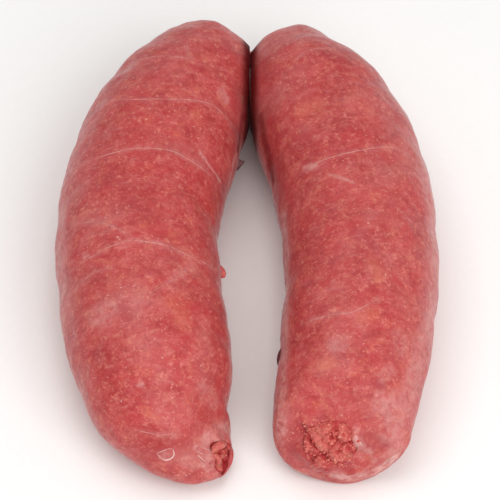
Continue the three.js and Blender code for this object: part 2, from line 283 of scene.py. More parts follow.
def twist_rings(angles):
    """The twist: a short rope of bare gut between the two far ends, with its folds wound round it."""
    start, end = np.array(LEFT["stations"][-1]), np.array(RIGHT["stations"][-1])
    rings = []
    for k in range(TWIST_RINGS):
        x = (k + 1) / (TWIST_RINGS + 1)
        swing = math.sin(math.pi * x)
        middle = start[:3] + (end[:3] - start[:3]) * x
        middle[1] += TWIST["bulge"] * swing
        heading = np.array([end[0] - start[0], TWIST["bulge"] * math.pi * math.cos(math.pi * x), 0])
        heading /= np.linalg.norm(heading)
        side = np.array([heading[1], -heading[0], 0])
        radius = start[3] + (end[3] - start[3]) * x - TWIST["waist"] * swing
        wound = TWIST["lobes"] * (angles - TWIST["turns"] * 2 * math.pi * x)
        r = radius * (1 + TWIST["relief"] * math.sqrt(swing) * np.cos(wound))
        rings.append(middle + np.outer(r * np.cos(angles), side) + np.outer(r * np.sin(angles), [0, 0, 1]))
    return np.array(rings)


# %% Meshes over rows of rings
def new_piece(name, mesh):
    """Puts a mesh into the scene at the origin."""
    piece = bpy.data.objects.new(name, mesh)
    bpy.context.scene.collection.objects.link(piece)
    return piece


def lofted(name, tubes, finish=None):
    """A piece of closed tubes. Each is an array of rings in mm and ends in a point at either end."""
    points, faces, first = [], [], 0
    for rings in tubes:
        count, around = rings.shape[:2]
        j = np.arange(around)
        after = (j + 1) % around
        rows = first + np.arange(count - 1)[:, None] * around
        quads = np.stack([rows + j, rows + around + j, rows + around + after, rows + after], 2)
        faces += quads.reshape(-1, 4).tolist()
        tip, end = first + count * around, first + (count - 1) * around
        faces += [[tip, first + a, first + b] for a, b in zip(j.tolist(), after.tolist())]
        faces += [[tip + 1, end + b, end + a] for a, b in zip(j.tolist(), after.tolist())]
        points.append(np.vstack([rings.reshape(-1, 3), rings[0].mean(0), rings[-1].mean(0)]) * MM)
        first = tip + 2
    mesh = bpy.data.meshes.new(name)
    mesh.from_pydata(np.vstack(points).tolist(), [], faces)
    mesh.shade_smooth()
    if finish:
        mesh.materials.append(finish)
    return new_piece(name, mesh)


def set_field(piece, field, values):
    """Keeps a value for each point of a piece, which trees and finishes then read."""
    attribute = piece.data.attributes.new(field, "FLOAT", "POINT")
    attribute.data.foreach_set("value", np.asarray(values, np.float32))


def with_ends(rings):
    """Values on rings as one row, with the means of the first and last ring for the two end points."""
    return np.concatenate([rings.ravel(), [rings[0].mean(), rings[-1].mean()]])


def points_of(piece):
    """The points of a piece, in mm."""
    flat = np.empty(len(piece.data.vertices) * 3, np.float32)
    piece.data.vertices.foreach_get("co", flat)
    return flat.reshape(-1, 3) / MM


# %% Move the model into the frame
def loft_bounds():
    """Lowest and highest corner of both links in the stations' own frame."""
    clouds = []
    for link in (LEFT, RIGHT):
        angles = section_angles(link, WALL_AROUND)
        clouds.append(pressed_points(link, ring_places(link), angles, 0).reshape(-1, 3))
    cloud = np.vstack(clouds)
    return cloud.min(0), cloud.max(0)


loft_low, loft_high = loft_bounds()
centre = np.array(CAD_LOW + CAD_HIGH) / 2 / MM
SHIFT = np.array([centre[0] - (loft_low[0] + loft_high[0]) / 2, CAD_HIGH.y / MM - loft_high[1], 0])
print("shift in mm", SHIFT.round(2), "loft", loft_low.round(1), loft_high.round(1))

# %% [markdown]
# ## Camera, light and floor
# The links are seen from 52 degrees above the table, from well back, as a product photo is taken. A big
# soft light from the front right, one above and a pale room give the even light of a studio. The floor
# is pale paper.

# %% Camera
ELEVATION = 52.0  # degrees above the table
DISTANCE = 520.0  # mm from the eye to the links
PIXELS_PER_MM = 4.36  # at the middle of the links, in a photo 500 pixels wide
FRAME_PIXELS = 500
SENSOR = 36.0
TARGET_HEIGHT = 15.0  # the middle of the picture lies about as high as the middle of a link
TARGET = np.array([SHIFT[0], SHIFT[1], TARGET_HEIGHT])
BACK = np.array([0, -math.cos(math.radians(ELEVATION)), math.sin(math.radians(ELEVATION))])
EYE = TARGET + BACK * DISTANCE
FOCAL_PIXELS = PIXELS_PER_MM * DISTANCE

camera = bpy.data.objects.new("camera", bpy.data.cameras.new("camera"))
bpy.context.scene.collection.objects.link(camera)
bpy.context.scene.camera = camera
camera.location = Vector(EYE * MM)
camera.rotation_mode = "QUATERNION"
camera.rotation_quaternion = Vector(-BACK).to_track_quat("-Z", "Y")
camera.data.lens = FOCAL_PIXELS / FRAME_PIXELS * SENSOR
camera.data.sensor_width = SENSOR
camera.data.clip_start = 0.01
print("camera lens in mm", round(camera.data.lens, 1))


def sight_line(pixel):
    """Where the eye looks through a pixel of the photo: a direction of length 1."""
    x, y = pixel[0] - FRAME_PIXELS / 2, FRAME_PIXELS / 2 - pixel[1]
    up = np.array([0, math.sin(math.radians(ELEVATION)), math.cos(math.radians(ELEVATION))])
    way = -BACK * FOCAL_PIXELS + np.array([1, 0, 0]) * x + up * y
    return way / np.linalg.norm(way)


# %% Lights
# Each light has its place in metres and its watts.
BOX_SIZE = 0.5
LIGHTS = {"key_box": ((0.24, -0.46, 0.46), 2.65), "top_box": ((-0.1, 0.0, 0.7), 1.7)}
ROOM_LIGHT = 0.52


def soft_light(name, place, watts):
    """A square soft light that faces the links. Its place is in metres."""
    lamp = bpy.data.lights.new(name, "AREA")
    lamp.energy, lamp.size = watts, BOX_SIZE
    light = bpy.data.objects.new(name, lamp)
    bpy.context.scene.collection.objects.link(light)
    light.location = place
    light.rotation_mode = "QUATERNION"
    light.rotation_quaternion = (Vector(TARGET * MM) - Vector(place)).to_track_quat("-Z", "Y")


for name, (place, watts) in LIGHTS.items():
    soft_light(name, place, watts)
bpy.context.scene.world = bpy.data.worlds.new("studio")
bpy.context.scene.world.use_nodes = True
studio = bpy.context.scene.world.node_tree.nodes["Background"]
studio.inputs["Color"].default_value = (1, 1, 1, 1)
studio.inputs["Strength"].default_value = ROOM_LIGHT
bpy.context.scene.view_settings.view_transform = "Standard"
print("lights", list(LIGHTS))

# %% [markdown]
# ## Finishes
# Each finish is a small tree of nodes. One function adds a node, with its settings and what goes into
# its sockets. Colours are written as they look on screen, and one function turns them to linear light.

# %% Helpers for node trees
def srgb(hexadecimal):
    """A screen colour such as #c05a55 as linear red, green, blue and alpha."""
    screen = [int(hexadecimal[i : i + 2], 16) / 255 for i in (1, 3, 5)]
    return (*[c / 12.92 if c <= 0.04045 else ((c + 0.055) / 1.055) ** 2.4 for c in screen], 1.0)


def add(tree, kind, inputs=None, **settings):
    """Adds a node. An input is a value, or another node's output to link."""
    node = tree.nodes.new(kind)
    for key, value in settings.items():
        setattr(node, key, value)
    for key, value in (inputs or {}).items():
        if isinstance(value, bpy.types.NodeSocket):
            tree.links.new(value, node.inputs[key])
        else:
            node.inputs[key].default_value = value
    return node


def marks(vector, size_mm, detail=2.0, roughness=0.5, distortion=0.0, place=0.0):
    """What a noise node takes for soft cloudy marks of a size in millimetres."""
    return {
        "Vector": vector,
        "W": place,
        "Scale": 1 / (size_mm * MM),
        "Detail": detail,
        "Roughness": roughness,
        "Distortion": distortion,
    }


def soft_marks(tree, cloud, start, full, low=0.0, high=1.0):
    """Cloudy marks with soft edges. The noise starts to show at one value and is full at another."""
    noise = add(tree, "ShaderNodeTexNoise", cloud, noise_dimensions="4D").outputs["Fac"]
    limits = {0: noise, 1: start, 2: full, 3: low, 4: high}
    return add(tree, "ShaderNodeMapRange", limits, interpolation_type="SMOOTHSTEP").outputs[0]


def mottled(tree, colour, above, cloud, start, full, low=0.0, high=1.0):
    """Lays soft marks of another colour over a colour."""
    share = soft_marks(tree, cloud, start, full, low, high)
    return add(tree, "ShaderNodeMix", {0: share, 6: colour, 7: above}, data_type="RGBA").outputs[2]


def laid_by(tree, value, colour, steps):
    """Lays colours over a colour by a value. Each has where it starts, where it is full, and its share."""
    for above, start, full, share in steps:
        limits = {0: value, 1: start, 2: full, 4: share}
        soft = add(tree, "ShaderNodeMapRange", limits, interpolation_type="SMOOTHSTEP").outputs[0]
        colour = add(tree, "ShaderNodeMix", {0: soft, 6: colour, 7: above}, data_type="RGBA").outputs[2]
    return colour


def laid_where(tree, field, colour, above):
    """Lays a colour where a piece keeps a field for it on its points."""
    share = add(tree, "ShaderNodeAttribute", attribute_name=field).outputs["Fac"]
    return add(tree, "ShaderNodeMix", {0: share, 6: colour, 7: above}, data_type="RGBA").outputs[2]


def rough(tree, cloud, strength, height_mm):
    """Small roughness that only the light shows."""
    noise = add(tree, "ShaderNodeTexNoise", cloud, noise_dimensions="4D").outputs["Fac"]
    inputs = {"Height": noise, "Strength": strength, "Distance": height_mm * MM}
    return add(tree, "ShaderNodeBump", inputs).outputs[0]


def wet_flesh(colour, roughness, ior, glow, spread, depth_mm):
    """What a shader takes for wet flesh: light sinks in a little, and red goes furthest."""
    return {
        "Base Color": colour,
        "Roughness": roughness,
        "IOR": ior,
        "Subsurface Weight": glow,
        "Subsurface Radius": spread,
        "Subsurface Scale": depth_mm * MM,
    }


def new_finish(name):
    """A new material with an empty tree."""
    material = bpy.data.materials.new(name)
    material.use_nodes = True
    material.node_tree.nodes.clear()
    return material, material.node_tree


def end_finish(tree, inputs):
    """Ends a finish with one shader and what goes into its sockets."""
    shader = add(tree, "ShaderNodeBsdfPrincipled", inputs)
    add(tree, "ShaderNodeOutputMaterial", {0: shader.outputs[0]})


# %% Floor of pale paper
def pale_paper():
    """Matte photo paper: even, with the faintest grain."""
    material, tree = new_finish("matte_photo_paper")
    coords = add(tree, "ShaderNodeTexCoord").outputs["Object"]
    grain = add(tree, "ShaderNodeTexNoise", marks(coords, 1.5), noise_dimensions="4D").outputs["Fac"]
    papers = {0: grain, 6: srgb("#f4f3f1"), 7: srgb("#f8f7f5")}
    colour = add(tree, "ShaderNodeMix", papers, data_type="RGBA").outputs[2]
    end_finish(tree, {"Base Color": colour, "Roughness": 0.9})
    return material


HALF_FLOOR = 1.5  # metres
corners = [(-HALF_FLOOR, -HALF_FLOOR, 0), (HALF_FLOOR, -HALF_FLOOR, 0)]
corners += [(HALF_FLOOR, HALF_FLOOR, 0), (-HALF_FLOOR, HALF_FLOOR, 0)]
floor_mesh = bpy.data.meshes.new("floor")
floor_mesh.from_pydata(corners, [], [(0, 1, 2, 3)])
floor_mesh.materials.append(pale_paper())
new_piece("floor", floor_mesh)

# %% [markdown]
# ## Moist gut over ground meat
# Natural gut is clear, so what shows through it is the ground meat: deep red lean, rose smears where fat
# and lean are worked together, orange crumbs of fat and a few white specks. Fat is spread through the
# meat at every size, so each mark is a cloud with ragged edges and not a round dot. The gut adds a soft
# wet gloss, and where it lies bare or double, at a cut edge, a fold or the twist, it is pale pink.

# %% Gut finish
LEAN_DEEP = srgb("#9c282d")
LEAN = srgb("#b63b3d")
ROSE = srgb("#ca6965")
CRUMB_PINK = srgb("#d8806f")
FAT_ORANGE = srgb("#d2775a")
FAT_WHITE = srgb("#ebc2b4")
BARE_GUT = srgb("#d49b95")
# Painted shade: the near black red of the deep line where the two links press on each other.
PAINTED_CONTACT_SHADE = srgb("#4a0507")
RED_FURTHEST = (1.0, 0.35, 0.25)  # how far red, green and blue light go in meat
SQUASHED = (0.75, 0.2)  # shares that make marks longer across a link than along it


def meat_colours(tree, coords):
    """The colour of ground meat, from the large patches down to the small specks."""
    stretched = []
    for share in SQUASHED:
        inputs = {0: coords, 1: (share, 1.0, share)}
        stretched.append(add(tree, "ShaderNodeVectorMath", inputs, operation="MULTIPLY").outputs[0])
    drawn, fibrous = stretched
    # A layer is a colour, its marks, the noise where they start and are full, and their low and high share.
    layers = [
        (LEAN, marks(coords, 8, 4, 0.6), 0.3, 0.6, 0.35, 1.0),
        (ROSE, marks(drawn, 2.6, 7, 0.74, 0.4, 3), 0.42, 0.64, 0.0, 0.5),
        (FAT_ORANGE, marks(coords, 3.2, 9, 0.78, 0.4, 11), 0.48, 0.64, 0.0, 0.34),
        (LEAN_DEEP, marks(drawn, 1.9, 7, 0.72, 0.4, 7), 0.5, 0.64, 0.0, 0.6),
        (LEAN_DEEP, marks(coords, 0.8, 4, 0.7, 0.4, 47), 0.53, 0.64, 0.0, 0.5),
        (CRUMB_PINK, marks(coords, 0.9, 4, 0.66, 0.15, 13), 0.53, 0.66, 0.0, 0.55),
        (BARE_GUT, marks(fibrous, 0.5, 3, 0.6, 0.2, 15), 0.56, 0.74, 0.0, 0.26),
        (FAT_WHITE, marks(coords, 0.75, 3, 0.6, 0.3, 17), 0.66, 0.73, 0.0, 0.55),
    ]
    colour = LEAN_DEEP
    for above, cloud, *limits in layers:
        colour = mottled(tree, colour, above, cloud, *limits)
    return colour


def moist_gut():
    """Natural hog casing filled with coarse ground pork: clear, thin and wet."""
    material, tree = new_finish("moist_natural_gut_over_ground_meat")
    coords = add(tree, "ShaderNodeTexCoord").outputs["Object"]
    colour = meat_colours(tree, coords)
    # Spots of lean, and painted shade beside the contact and in a crevice.
    colour = laid_where(tree, "lean", colour, LEAN_DEEP)
    colour = laid_where(tree, "fat", colour, FAT_ORANGE)
    colour = mottled(tree, colour, BARE_GUT, marks(coords, 14, 4, 0.6, 0.3, 19), 0.45, 0.75, 0.0, 0.18)
    # Pale bare gut, and painted sheen along the edges and the inner sides.
    film_and_sheen = add(tree, "ShaderNodeAttribute", attribute_name="film_and_sheen").outputs["Fac"]
    uneven = soft_marks(tree, marks(coords, 1.4, 4, 0.7, 0.0, 29), 0.36, 0.6, 0.2, 1.0)
    share = add(tree, "ShaderNodeMath", {0: film_and_sheen, 1: uneven}, operation="MULTIPLY").outputs[0]
    colour = add(tree, "ShaderNodeMix", {0: share, 6: colour, 7: BARE_GUT}, data_type="RGBA").outputs[2]
    # Painted shade: near black along the line where the links press on each other.
    colour = laid_where(tree, "pressed", colour, PAINTED_CONTACT_SHADE)
    # No light comes in there, so the gloss and the pale sheen are turned down as well, as painted shade.
    pressed = add(tree, "ShaderNodeAttribute", attribute_name="pressed").outputs["Fac"]
    dulled = {0: pressed, 1: 0.0, 2: 0.8, 3: 0.5, 4: 0.04}
    shine = add(tree, "ShaderNodeMapRange", dulled, interpolation_type="SMOOTHSTEP").outputs[0]
    sheen = add(tree, "ShaderNodeMath", {0: shine, 1: 0.4}, operation="MULTIPLY").outputs[0]
    gloss = soft_marks(tree, marks(coords, 1.6, 3, 0.6, 0.0, 23), 0.35, 0.65, 0.36, 0.52)
    wet_film = {
        "Normal": rough(tree, marks(coords, 0.8, 4, 0.65), 0.5, 0.14),
        "Specular IOR Level": shine,
        "Sheen Weight": sheen,
        "Sheen Roughness": 0.35,
    }
    end_finish(tree, {**wet_flesh(colour, gloss, 1.38, 0.15, RED_FURTHEST, 0.8), **wet_film})
    return material


GUT = moist_gut()
print("finish", GUT.name, len(GUT.node_tree.nodes), "nodes")

# %% [markdown]
# ## Bare gut
# Strands, folds, flaps and the glints on a blister and on the folds are gut with no meat in it. It is a
# pale greyish pink, and where it lies thin on the meat the colour under it shows through, so a strand
# fades in and out along its length. A flap that hangs free is paler, and the glints are painted
# highlights, almost white.

# %% Bare gut finishes
# Painted highlight: the almost white of the glints on the blister and the folds.
PAINTED_GLINT_PINK = srgb("#e8c1ba")
THIN_FLAP = srgb("#dca8a2")
PINK_SPREAD = (1.0, 0.4, 0.3)  # how far light goes in thin gut and in a single crumb


def bare_gut(name, cover, gut=BARE_GUT):
    """Gut on its own. Cover is how much of the meat under it is hidden, from 0 to 1."""
    material, tree = new_finish(name)
    coords = add(tree, "ShaderNodeTexCoord").outputs["Object"]
    cloud = marks(coords, 2.6, 3, 0.6, 0.0, 31)
    colour = mottled(tree, meat_colours(tree, coords), gut, cloud, 0.35, 0.62, cover * 0.35, cover)
    end_finish(tree, wet_flesh(colour, 0.38, 1.38, 0.2, PINK_SPREAD, 0.6))
    return material


STRAND_GUT = bare_gut("thin_gut_strand_on_meat", 0.6)
FOLDED_GUT = bare_gut("folded_bare_gut", 0.42)
FLAP_GUT = bare_gut("thin_torn_gut_flap", 0.9, THIN_FLAP)
# Painted highlights, drawn as almost white gut.
GLINT_GUT = bare_gut("gut_with_painted_glint", 0.88, PAINTED_GLINT_PINK)
print("bare gut", [material.name for material in (STRAND_GUT, FOLDED_GUT, FLAP_GUT, GLINT_GUT)])

# %% [markdown]
# ## Ground meat
# In the open mouths the meat is crumbled: orange-pink crumbs of fat and worked meat stand up, and deep
# red shows in the pits between them, partly wet lean and partly painted shade. Each point keeps how high
# its crumb stands, and the finish colours it by that height, deeper red the lower it lies, and the
# creases are painted deep red as shade. A loose crumb has one tone of its own, and two shreds of lean
# that hang outside the gut are painted almost black as shade.

# %% Ground meat finishes
# Deep red of lean in the pits between crumbs, partly painted shade; the creases take it as painted shade.
PIT_RED_AND_SHADE = srgb("#a8252a")
MEAT_RED = srgb("#bd3f3e")
MEAT_PINK = srgb("#cf6b61")
MEAT_FAT = srgb("#d98d76")
# Painted shade: the near black of two shreds of lean that stand in the shade between the links.
SHADE_DARK_LEAN = srgb("#56131a")


def wet_meat():
    """Coarse ground raw pork, wet with its own juice."""
    material, tree = new_finish("wet_coarse_ground_meat")
    coords = add(tree, "ShaderNodeTexCoord").outputs["Object"]
    crest = add(tree, "ShaderNodeAttribute", attribute_name="crest").outputs["Fac"]
    ragged = add(tree, "ShaderNodeTexNoise", marks(coords, 0.9, 4, 0.7, 0.5, 37), noise_dimensions="4D")
    inputs = {0: crest, 1: ragged.outputs["Fac"]}
    height = add(tree, "ShaderNodeMath", inputs, operation="ADD").outputs[0]
    # Partly painted shade: the lower a point lies, the deeper its red.
    steps = [(MEAT_RED, 0.5, 0.95, 1.0), (MEAT_PINK, 0.85, 1.25, 0.85)]
    colour = laid_by(tree, height, PIT_RED_AND_SHADE, steps)
    colour = mottled(tree, colour, MEAT_FAT, marks(coords, 2.4, 4, 0.65, 0.4, 41), 0.5, 0.64, 0.0, 0.5)
    colour = mottled(tree, colour, PIT_RED_AND_SHADE, marks(coords, 0.7, 5, 0.7, 0.5, 43), 0.48, 0.62, 0.0, 0.5)
    fibres = {"Normal": rough(tree, marks(coords, 0.8, 6, 0.7), 0.9, 0.45)}
    end_finish(tree, {**wet_flesh(colour, 0.36, 1.4, 0.2, RED_FURTHEST, 0.7), **fibres})
    return material


def loose_grain():
    """A single crumb of meat or fat. Each has its own tone, from deep red to pale fat."""
    material, tree = new_finish("wet_meat_crumb")
    tone = add(tree, "ShaderNodeAttribute", attribute_name="tone").outputs["Fac"]
    colour = laid_by(tree, tone, MEAT_RED, [(MEAT_PINK, 0.1, 0.5, 1.0), (MEAT_FAT, 0.7, 1.0, 0.6)])
    end_finish(tree, wet_flesh(colour, 0.34, 1.4, 0.2, PINK_SPREAD, 0.5))
    return material


def shaded_shred():
    """A shred of lean outside the gut, painted near black as shade, with redder marks."""
    material, tree = new_finish("lean_shred_painted_dark_as_shade")
    coords = add(tree, "ShaderNodeTexCoord").outputs["Object"]
    colour = mottled(tree, SHADE_DARK_LEAN, LEAN_DEEP, marks(coords, 1.2, 4, 0.6), 0.5, 0.9)
    end_finish(tree, {"Base Color": colour, "Roughness": 0.5})
    return material


MEAT = wet_meat()
GRAIN = loose_grain()
SHADED_SHRED_FINISH = shaded_shred()
print("meat finishes", [material.name for material in (MEAT, GRAIN, SHADED_SHRED_FINISH)])

# %% [markdown]
# ## Geometry Nodes
# What follows a rule is made by trees built here. Each tree has named inputs for its sizes, the lumps and
# the crumbs a seed as well, and ends in Realize Instances and Set Material, so that its result is a plain
# mesh.

# %% Helpers for geometry trees
SOCKETS = {float: "NodeSocketFloat", int: "NodeSocketInt"}


def new_tree(name, sizes):
    """A tree with inputs for its geometry, its sizes and its finish, and a geometry output."""
    tree = bpy.data.node_groups.new(name, "GeometryNodeTree")
    tree.interface.new_socket("Geometry", in_out="INPUT", socket_type="NodeSocketGeometry")
    for label, value in sizes.items():
        socket = tree.interface.new_socket(label, in_out="INPUT", socket_type=SOCKETS[type(value)])
        socket.default_value = value
    tree.interface.new_socket("Material", in_out="INPUT", socket_type="NodeSocketMaterial")
    tree.interface.new_socket("Geometry", in_out="OUTPUT", socket_type="NodeSocketGeometry")
    return tree, add(tree, "NodeGroupInput").outputs


def close_tree(tree, geometry, material):
    """Ends a tree: instances become real, and the finish is set."""
    real = add(tree, "GeometryNodeRealizeInstances", {0: geometry})
    dressed = add(tree, "GeometryNodeSetMaterial", {"Geometry": real.outputs[0], "Material": material})
    add(tree, "NodeGroupOutput", {0: dressed.outputs[0]})


def run_tree(piece, tree, sizes):
    """Runs a tree on a piece with these inputs and keeps the result as a plain mesh."""
    modifier = piece.modifiers.new(tree.name, "NODES")
    modifier.node_group = tree
    for item in tree.interface.items_tree:
        if item.item_type == "SOCKET" and item.in_out == "INPUT" and item.name in sizes:
            modifier[item.identifier] = sizes[item.name]
    graph = bpy.context.evaluated_depsgraph_get()
    evaluated = piece.evaluated_get(graph)
    mesh = bpy.data.meshes.new_from_object(evaluated, preserve_all_data_layers=True, depsgraph=graph)
    piece.modifiers.remove(modifier)
    piece.data = mesh
    mesh.name = piece.name
    mesh.shade_smooth()
    print(piece.name, "from", tree.name, sum(len(p.vertices) - 2 for p in mesh.polygons), "triangles")
    return piece


# %% [markdown]
# ## Lumps under the skin
# The lumps of the filling show as soft swellings of two sizes, half a millimetre high and less. A tree
# pushes the skin out and in by two sizes of noise. Each point keeps how free it is to move, because the
# skin is firm at the lips, at the twist, on the table and where the links touch. Folds and dents that
# the photo shows are added by a height of their own.

# %% Tree: lumps that push the skin out
def lumpy_skin_tree():
    """Pushes a skin out and in by two sizes of soft lump, as ground meat does under gut."""
    sizes = {"Lump Size": 6 * MM, "Lump Height": 0.5 * MM, "Crumb Size": 2 * MM, "Crumb Height": 0.2 * MM}
    tree, given = new_tree("lumpy_skin", {**sizes, "Seed": 1.0})
    place = add(tree, "GeometryNodeInputPosition").outputs[0]
    pushes = []
    for size, height in (("Lump Size", "Lump Height"), ("Crumb Size", "Crumb Height")):
        scale = add(tree, "ShaderNodeMath", {0: 1.0, 1: given[size]}, operation="DIVIDE").outputs[0]
        cloud = {"Vector": place, "W": given["Seed"], "Scale": scale, "Detail": 2.0}
        noise = add(tree, "ShaderNodeTexNoise", cloud, noise_dimensions="4D").outputs["Fac"]
        swing = add(tree, "ShaderNodeMath", {0: noise, 1: 0.5}, operation="SUBTRACT").outputs[0]
        push = add(tree, "ShaderNodeMath", {0: swing, 1: given[height]}, operation="MULTIPLY")
        pushes.append(push.outputs[0])
    both = add(tree, "ShaderNodeMath", {0: pushes[0], 1: pushes[1]}, operation="ADD").outputs[0]
    free = add(tree, "GeometryNodeInputNamedAttribute", {"Name": "free"}, data_type="FLOAT").outputs[0]
    formed = add(tree, "GeometryNodeInputNamedAttribute", {"Name": "rise"}, data_type="FLOAT").outputs[0]
    rise = add(tree, "ShaderNodeMath", {0: both, 1: free, 2: formed}, operation="MULTIPLY_ADD").outputs[0]
    normal = add(tree, "GeometryNodeInputNormal").outputs[0]
    offset = add(tree, "ShaderNodeVectorMath", {0: normal, 3: rise}, operation="SCALE").outputs[0]
    moved = add(tree, "GeometryNodeSetPosition", {"Geometry": given["Geometry"], "Offset": offset})
    close_tree(tree, moved.outputs[0], given["Material"])
    return tree


# %% Build the plain skin of both links
HAIR_LEFT = 0.12  # what is left of the wall under the deepest dent
FIRM_BELOW = 2.5  # the skin is free from this height over the table up
FIRM_BESIDE = 1.5  # and about this far from the other link
FIRM_CONTACT = 0.1  # the share of that in which it is quite firm
FIRM_LIP = 4.0  # and this far from the lip
FIRM_TWIST = 5.0  # and from the twist
BARE_TWIST = 4.0  # how far from the twist the gut has no meat in it


def skin_parts(link):
    """Rings outside and in the pocket of a link, how bare and free each point is, and its deepest dent."""
    angles = section_angles(link, WALL_AROUND)
    t = ring_places(link)
    outside = pressed_points(link, t, angles, 0)
    here = millimetres_along(link, t)
    to_twist = link["lengths"][-1] - here
    free = ease(outside[:, :, 2] / FIRM_BELOW) * ease(np.abs(outside[:, :, 0]) / FIRM_BESIDE - FIRM_CONTACT)
    free = free * ease(here / FIRM_LIP) * ease(to_twist / FIRM_TWIST)
    bare = np.tile(1 - ease(to_twist / BARE_TWIST), (1, WALL_AROUND))
    deepest = np.tile(wall_at(link, t)[:, None] - HAIR_LEFT, (1, WALL_AROUND))
    inside_t = pocket_places(link)
    inside = pressed_points(link, inside_t, angles, wall_at(link, inside_t))
    none = np.zeros(inside.shape[:2])
    return (outside, bare, free, deepest), (inside, none + 1, none, none)


def build_skin():
    """One closed skin: pocket, outside, twist, outside and pocket, one after the other."""
    outer_left, pocket_left = skin_parts(LEFT)
    outer_right, pocket_right = skin_parts(RIGHT)
    rope = twist_rings(section_angles(LEFT, WALL_AROUND))
    ones = np.ones(rope.shape[:2])
    row = [[part[::-1] for part in pocket_left], outer_left, (rope, ones, 0 * ones, 0 * ones)]
    row += [[part[::-1] for part in outer_right], pocket_right]
    rings, bare, free, deepest = (np.concatenate([part[i] for part in row]) for i in range(4))
    piece = lofted("casing_skin", [rings + SHIFT])
    set_field(piece, "free", with_ends(free))
    return piece, with_ends(bare), with_ends(deepest)


skin, bareness, deepest_dent = build_skin()
print("skin has", len(skin.data.vertices), "points")


# %% Find places on the model by their pixels
def surface_of(*pieces):
    """What a sight line can meet."""
    points, faces = [], []
    for piece in pieces:
        first = sum(len(part) for part in points)
        points.append(points_of(piece))
        faces += [[first + v for v in p.vertices] for p in piece.data.polygons]
    return BVHTree.FromPolygons(np.vstack(points).tolist(), faces)


def seen_at(surface, pixels):
    """The points, in mm, and the outward directions that the eye meets through these pixels."""
    points, outward = [], []
    for pixel in pixels:
        place, normal, _, _ = surface.ray_cast(Vector(EYE), Vector(sight_line(pixel)))
        if place is not None:
            points.append(place[:])
            outward.append(normal[:])
    return np.array(points), np.array(outward)


def along_pixels(pixels, step):
    """Pixels about a step apart on the smooth curve through a few."""
    length = np.linalg.norm(np.diff(np.array(pixels, float)[:, :2], axis=0), axis=1).sum()
    count = max(int(length / step), 3)
    return through(pixels, np.linspace(0, len(pixels) - 1, count))


def nearness(points, path, radius):
    """1 on a path, and fading to 0 beside it over a radius."""
    nearest = np.full(len(points), math.inf)
    for place in path:
        nearest = np.minimum(nearest, ((points - place) ** 2).sum(1))
    return np.exp(-nearest / radius**2)


# %% [markdown]
# ## What makes these links uneven
# Hand-filled gut has pale places where it lies double or dry, spots where only lean or only fat lies
# under it, and small dents and bubbles. Light and shade are painted on it too: a near black line of
# painted shade where the links press on each other, darker red as painted shade beside that line and in
# a crevice, and pale bands of painted sheen on the edges and the inner sides. They are placed where they
# lie on the real pair, by pixels of the photo, and kept as fields on the points of the skin, so that
# they stay in place from every side. The tree reads the relief, and the finish reads film_and_sheen,
# lean, fat and pressed. Each row is a path, its radius in millimetres and its strength, or for relief
# its height in millimetres. A strand has only its radius.

# %% Where strands, patches and dents are
RIGHT_CREVICE = [(302, 426), (307, 436), (312, 443), (320, 448)]
STRANDS = {
    "left_far": ([(127, 64), (146, 58), (168, 56), (190, 59)], 0.14),
    "left_far_branch": ([(187, 44), (188, 52), (187, 60)], 0.1),
    "left_second": ([(96, 104), (120, 100), (160, 99), (191, 100), (214, 106), (231, 124)], 0.13),
    "left_third": (
        [(69, 172), (89, 161), (120, 151), (139, 148), (172, 151), (199, 166), (212, 176)],
        0.15,
    ),
    "left_fourth": ([(67, 226), (96, 222), (116, 228), (128, 236)], 0.1),
    "left_fifth": (
        [(72, 270), (101, 251), (126, 241), (142, 241), (165, 245), (190, 256), (209, 265), (222, 273)],
        0.17,
    ),
    "left_sixth": ([(75, 289), (95, 272), (114, 268)], 0.1),
    "left_thin": ([(149, 294), (170, 281), (193, 265)], 0.09),
    "left_low": ([(137, 430), (149, 433), (161, 435), (177, 433)], 0.12),
    "left_low_branch": ([(177, 434), (171, 438), (169, 442)], 0.1),
    "left_scar": ([(198, 149), (209, 165), (221, 182)], 0.14),
    "right_far": ([(295, 60), (304, 53), (314, 49), (333, 48)], 0.1),
    "right_second": ([(306, 169), (321, 161), (339, 155), (362, 150), (387, 147), (409, 153)], 0.14),
    "right_third": ([(303, 323), (330, 315), (352, 312), (378, 299)], 0.12),
    "right_scar": ([(330, 174), (342, 178), (354, 182)], 0.1),
}
# Painted highlights: almost white beads where the blister and the folds glint.
PAINTED_GLINTS = {
    "blister": ([(157, 453), (160, 457), (165, 460), (170, 459), (174, 455), (173, 449)], 0.24),
    "blister_top": ([(157, 453), (163, 451), (168, 449), (173, 449)], 0.09),
    "fold_glint": ([(358, 440), (362, 445)], 0.12),
    "left_fold_glint": ([(198, 455), (202, 459), (206, 462)], 0.12),
}
STRAND_BAND = (0.7, 0.16)  # how far the pale band beside a strand reaches, and how pale it is
BARE_FILM = 0.4  # how pale the bare twist is
